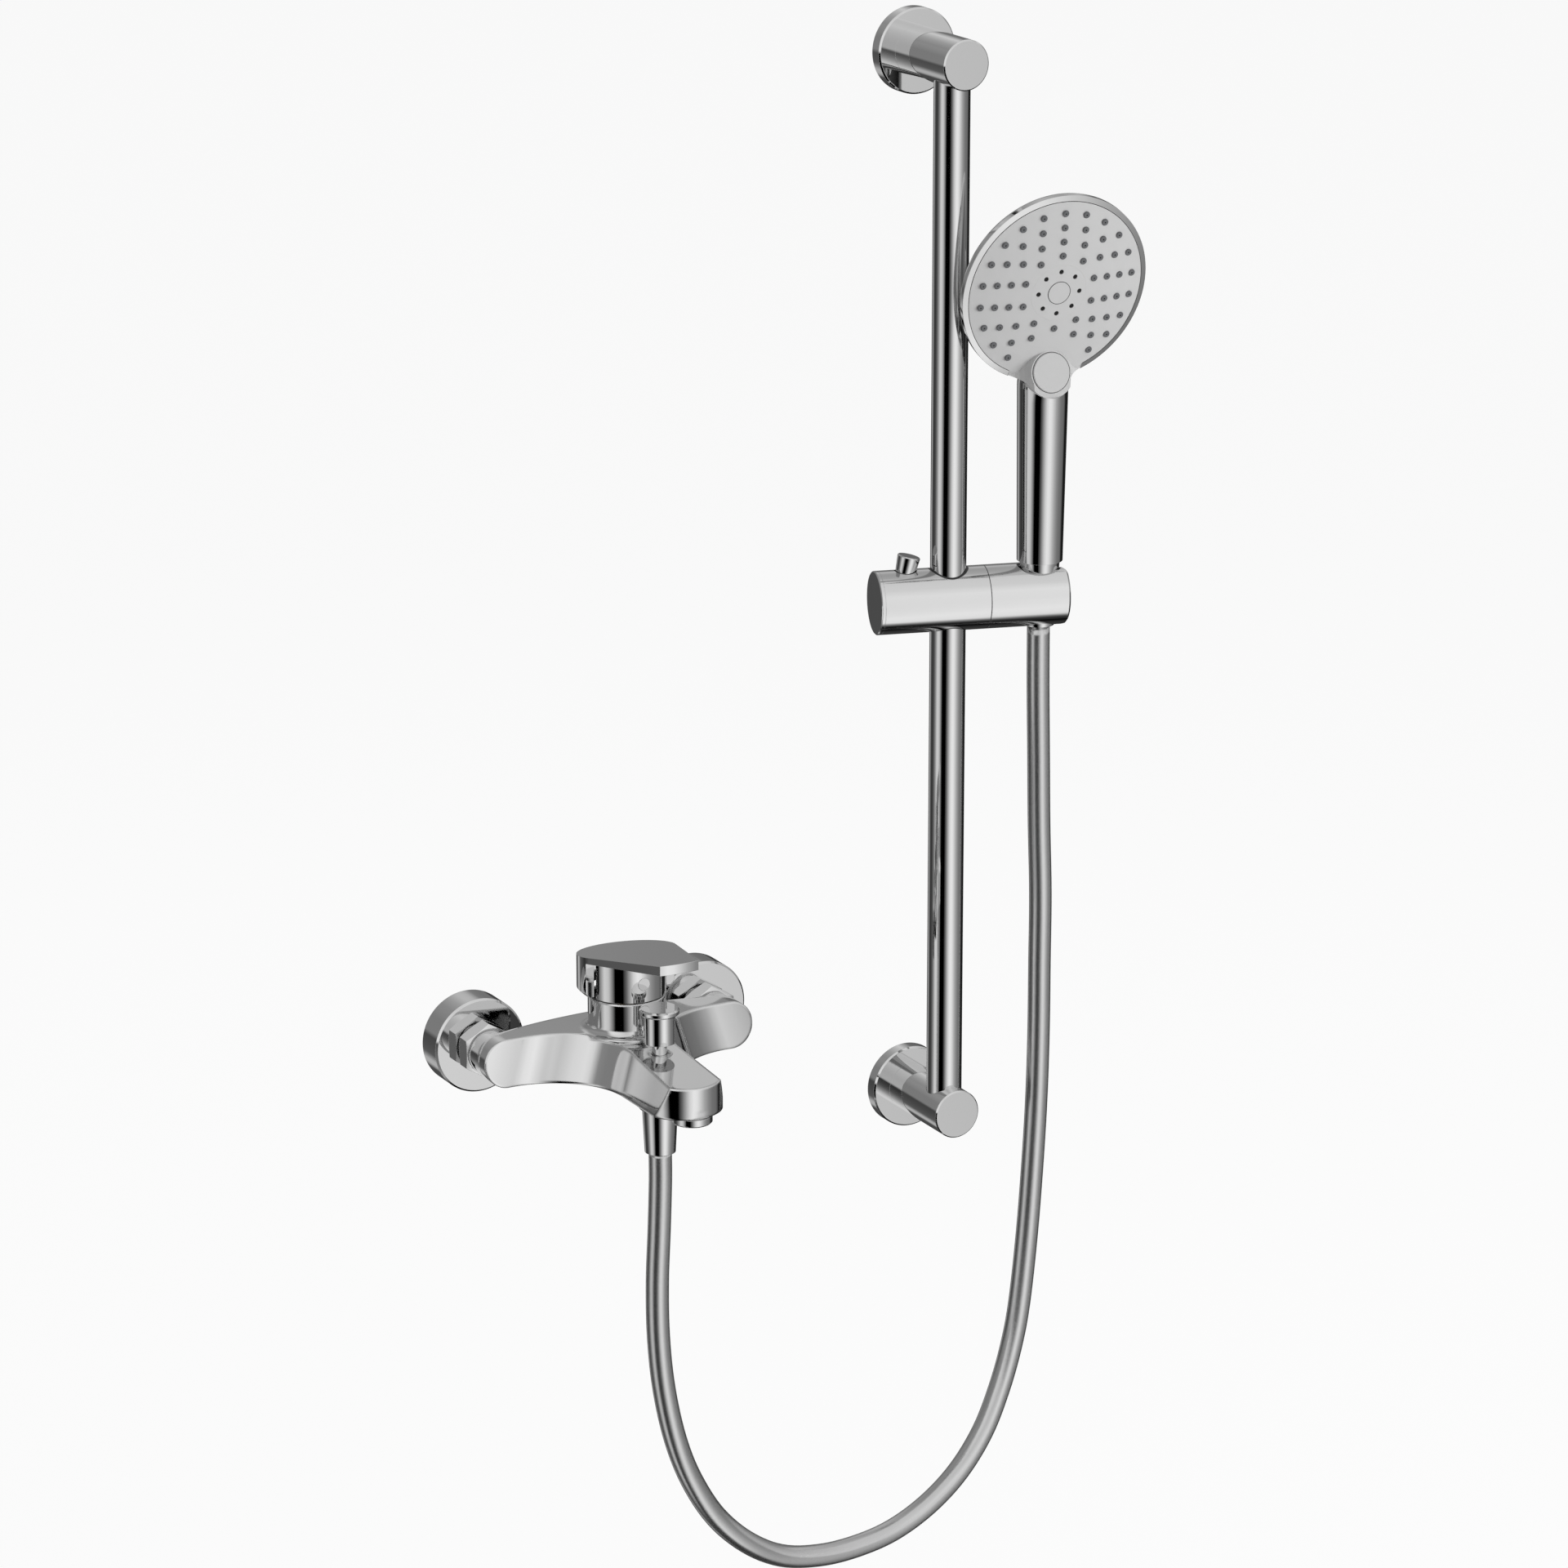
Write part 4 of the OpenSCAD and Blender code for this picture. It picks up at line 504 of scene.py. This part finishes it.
roof_greys = [(0.0, 0.0), (0.64, 0.0), (0.69, 0.22), (0.735, 0.42), (0.83, 0.3), (0.96, 0.3),
              (1.0, 0.45)]
for cloths, greys in ((low_cloths, low_greys), (high_cloths, high_greys), (back_roof, roof_greys)):
    stops = cloths.color_ramp.elements
    while len(stops) < len(greys):
        stops.new(0.5)
    for stop, (at, grey) in zip(stops, greys):
        stop.position = at
        stop.color = (grey, grey, grey, 1.0)
back_share = add(tree, "MapRange", {"Value": axes.outputs["Y"], "From Min": 0.0, "From Max": 0.08})
right_share = add(tree, "MapRange", {"Value": axes.outputs["X"], "From Min": -0.2, "From Max": 0.3,
                                     "To Min": 0.2})
corner_share = add(tree, "Math", {0: back_share.outputs[0], 1: right_share.outputs[0]},
                   operation="MULTIPLY")
raised = add(tree, "Mix", {0: corner_share.outputs[0], 6: high_cloths.outputs[0],
                           7: back_roof.outputs[0]}, data_type="RGBA", blend_type="ADD")
band_share = add(tree, "MapRange", {"Value": axes.outputs["Z"], "From Min": -0.1, "From Max": -0.01})
around = add(tree, "Mix", {0: band_share.outputs[0], 6: low_cloths.outputs[0], 7: raised.outputs[2]},
             data_type="RGBA")
high_share = add(tree, "MapRange", {"Value": axes.outputs["Z"], "From Min": 0.5, "From Max": 0.8,
                                    "To Max": 0.85})
front_share = add(tree, "Math", {0: 1.0, 1: back_share.outputs[0]}, operation="SUBTRACT")
roof_share = add(tree, "Math", {0: high_share.outputs[0], 1: front_share.outputs[0]},
                 operation="MULTIPLY")
roofed = add(tree, "Mix", {0: roof_share.outputs[0], 6: around.outputs[2], 7: linear("#e6e6e6")},
             data_type="RGBA")
deep_share = add(tree, "MapRange", {"Value": axes.outputs["Z"], "From Min": -0.88, "From Max": -0.97})
cloth = add(tree, "Mix", {0: deep_share.outputs[0], 6: roofed.outputs[2], 7: linear("#080808")},
            data_type="RGBA")
glow = add(tree, "Emission", {"Color": cloth.outputs[2], "Strength": 1.1})
add(tree, "OutputMaterial", {"Surface": glow.outputs[0]})
tent_r, middle = 8.0, Vector((0.15, -0.06, 0.12))
grown = bmesh.new()
bmesh.ops.create_icosphere(grown, subdivisions=6, radius=tent_r)
tent = piece("light_tent", grown, tent_mat)
tent.location = middle
tent.visible_camera = False
tent.visible_diffuse = False
tent.visible_shadow = False

# Three soft square lamps, right, left and behind, light the dull pieces at a plain level.
# Metal sees only the tent, so the lamps are hidden from reflections.
for name, at, power, side in (("key_lamp", (1.9, -1.9, 0.6), 44.0, 1.6),
                              ("fill_lamp", (-1.2, -2.2, 1.6), 3.0, 1.6),
                              ("back_lamp", (0.6, 1.8, 1.6), 10.0, 1.4)):
    lamp = bpy.data.lights.new(name, "AREA")
    lamp.energy = power
    lamp.size = side
    lit = bpy.data.objects.new(name, lamp)
    lit.location = at
    lit.rotation_euler = (middle - Vector(at)).to_track_quat("-Z", "Y").to_euler()
    lit.visible_glossy = False
    scene.collection.objects.link(lit)
scene.world = bpy.data.worlds.new("white_surround")
scene.world.use_nodes = True
tree = scene.world.node_tree
tree.nodes.clear()
rays = add(tree, "LightPath")
seen = add(tree, "Math", {0: rays.outputs["Is Camera Ray"], 1: rays.outputs["Is Glossy Ray"]},
           operation="MAXIMUM")
seen = add(tree, "Math", {0: seen.outputs[0], 1: rays.outputs["Is Transmission Ray"]},
           operation="MAXIMUM")
dim = add(tree, "Background", {"Color": linear("#ffffff"), "Strength": 0.45})
white = add(tree, "Background", {"Color": linear("#ffffff"), "Strength": 1.0})
both = add(tree, "MixShader", {0: seen.outputs[0], 1: dim.outputs[0], 2: white.outputs[0]})
add(tree, "OutputWorld", {"Surface": both.outputs[0]})
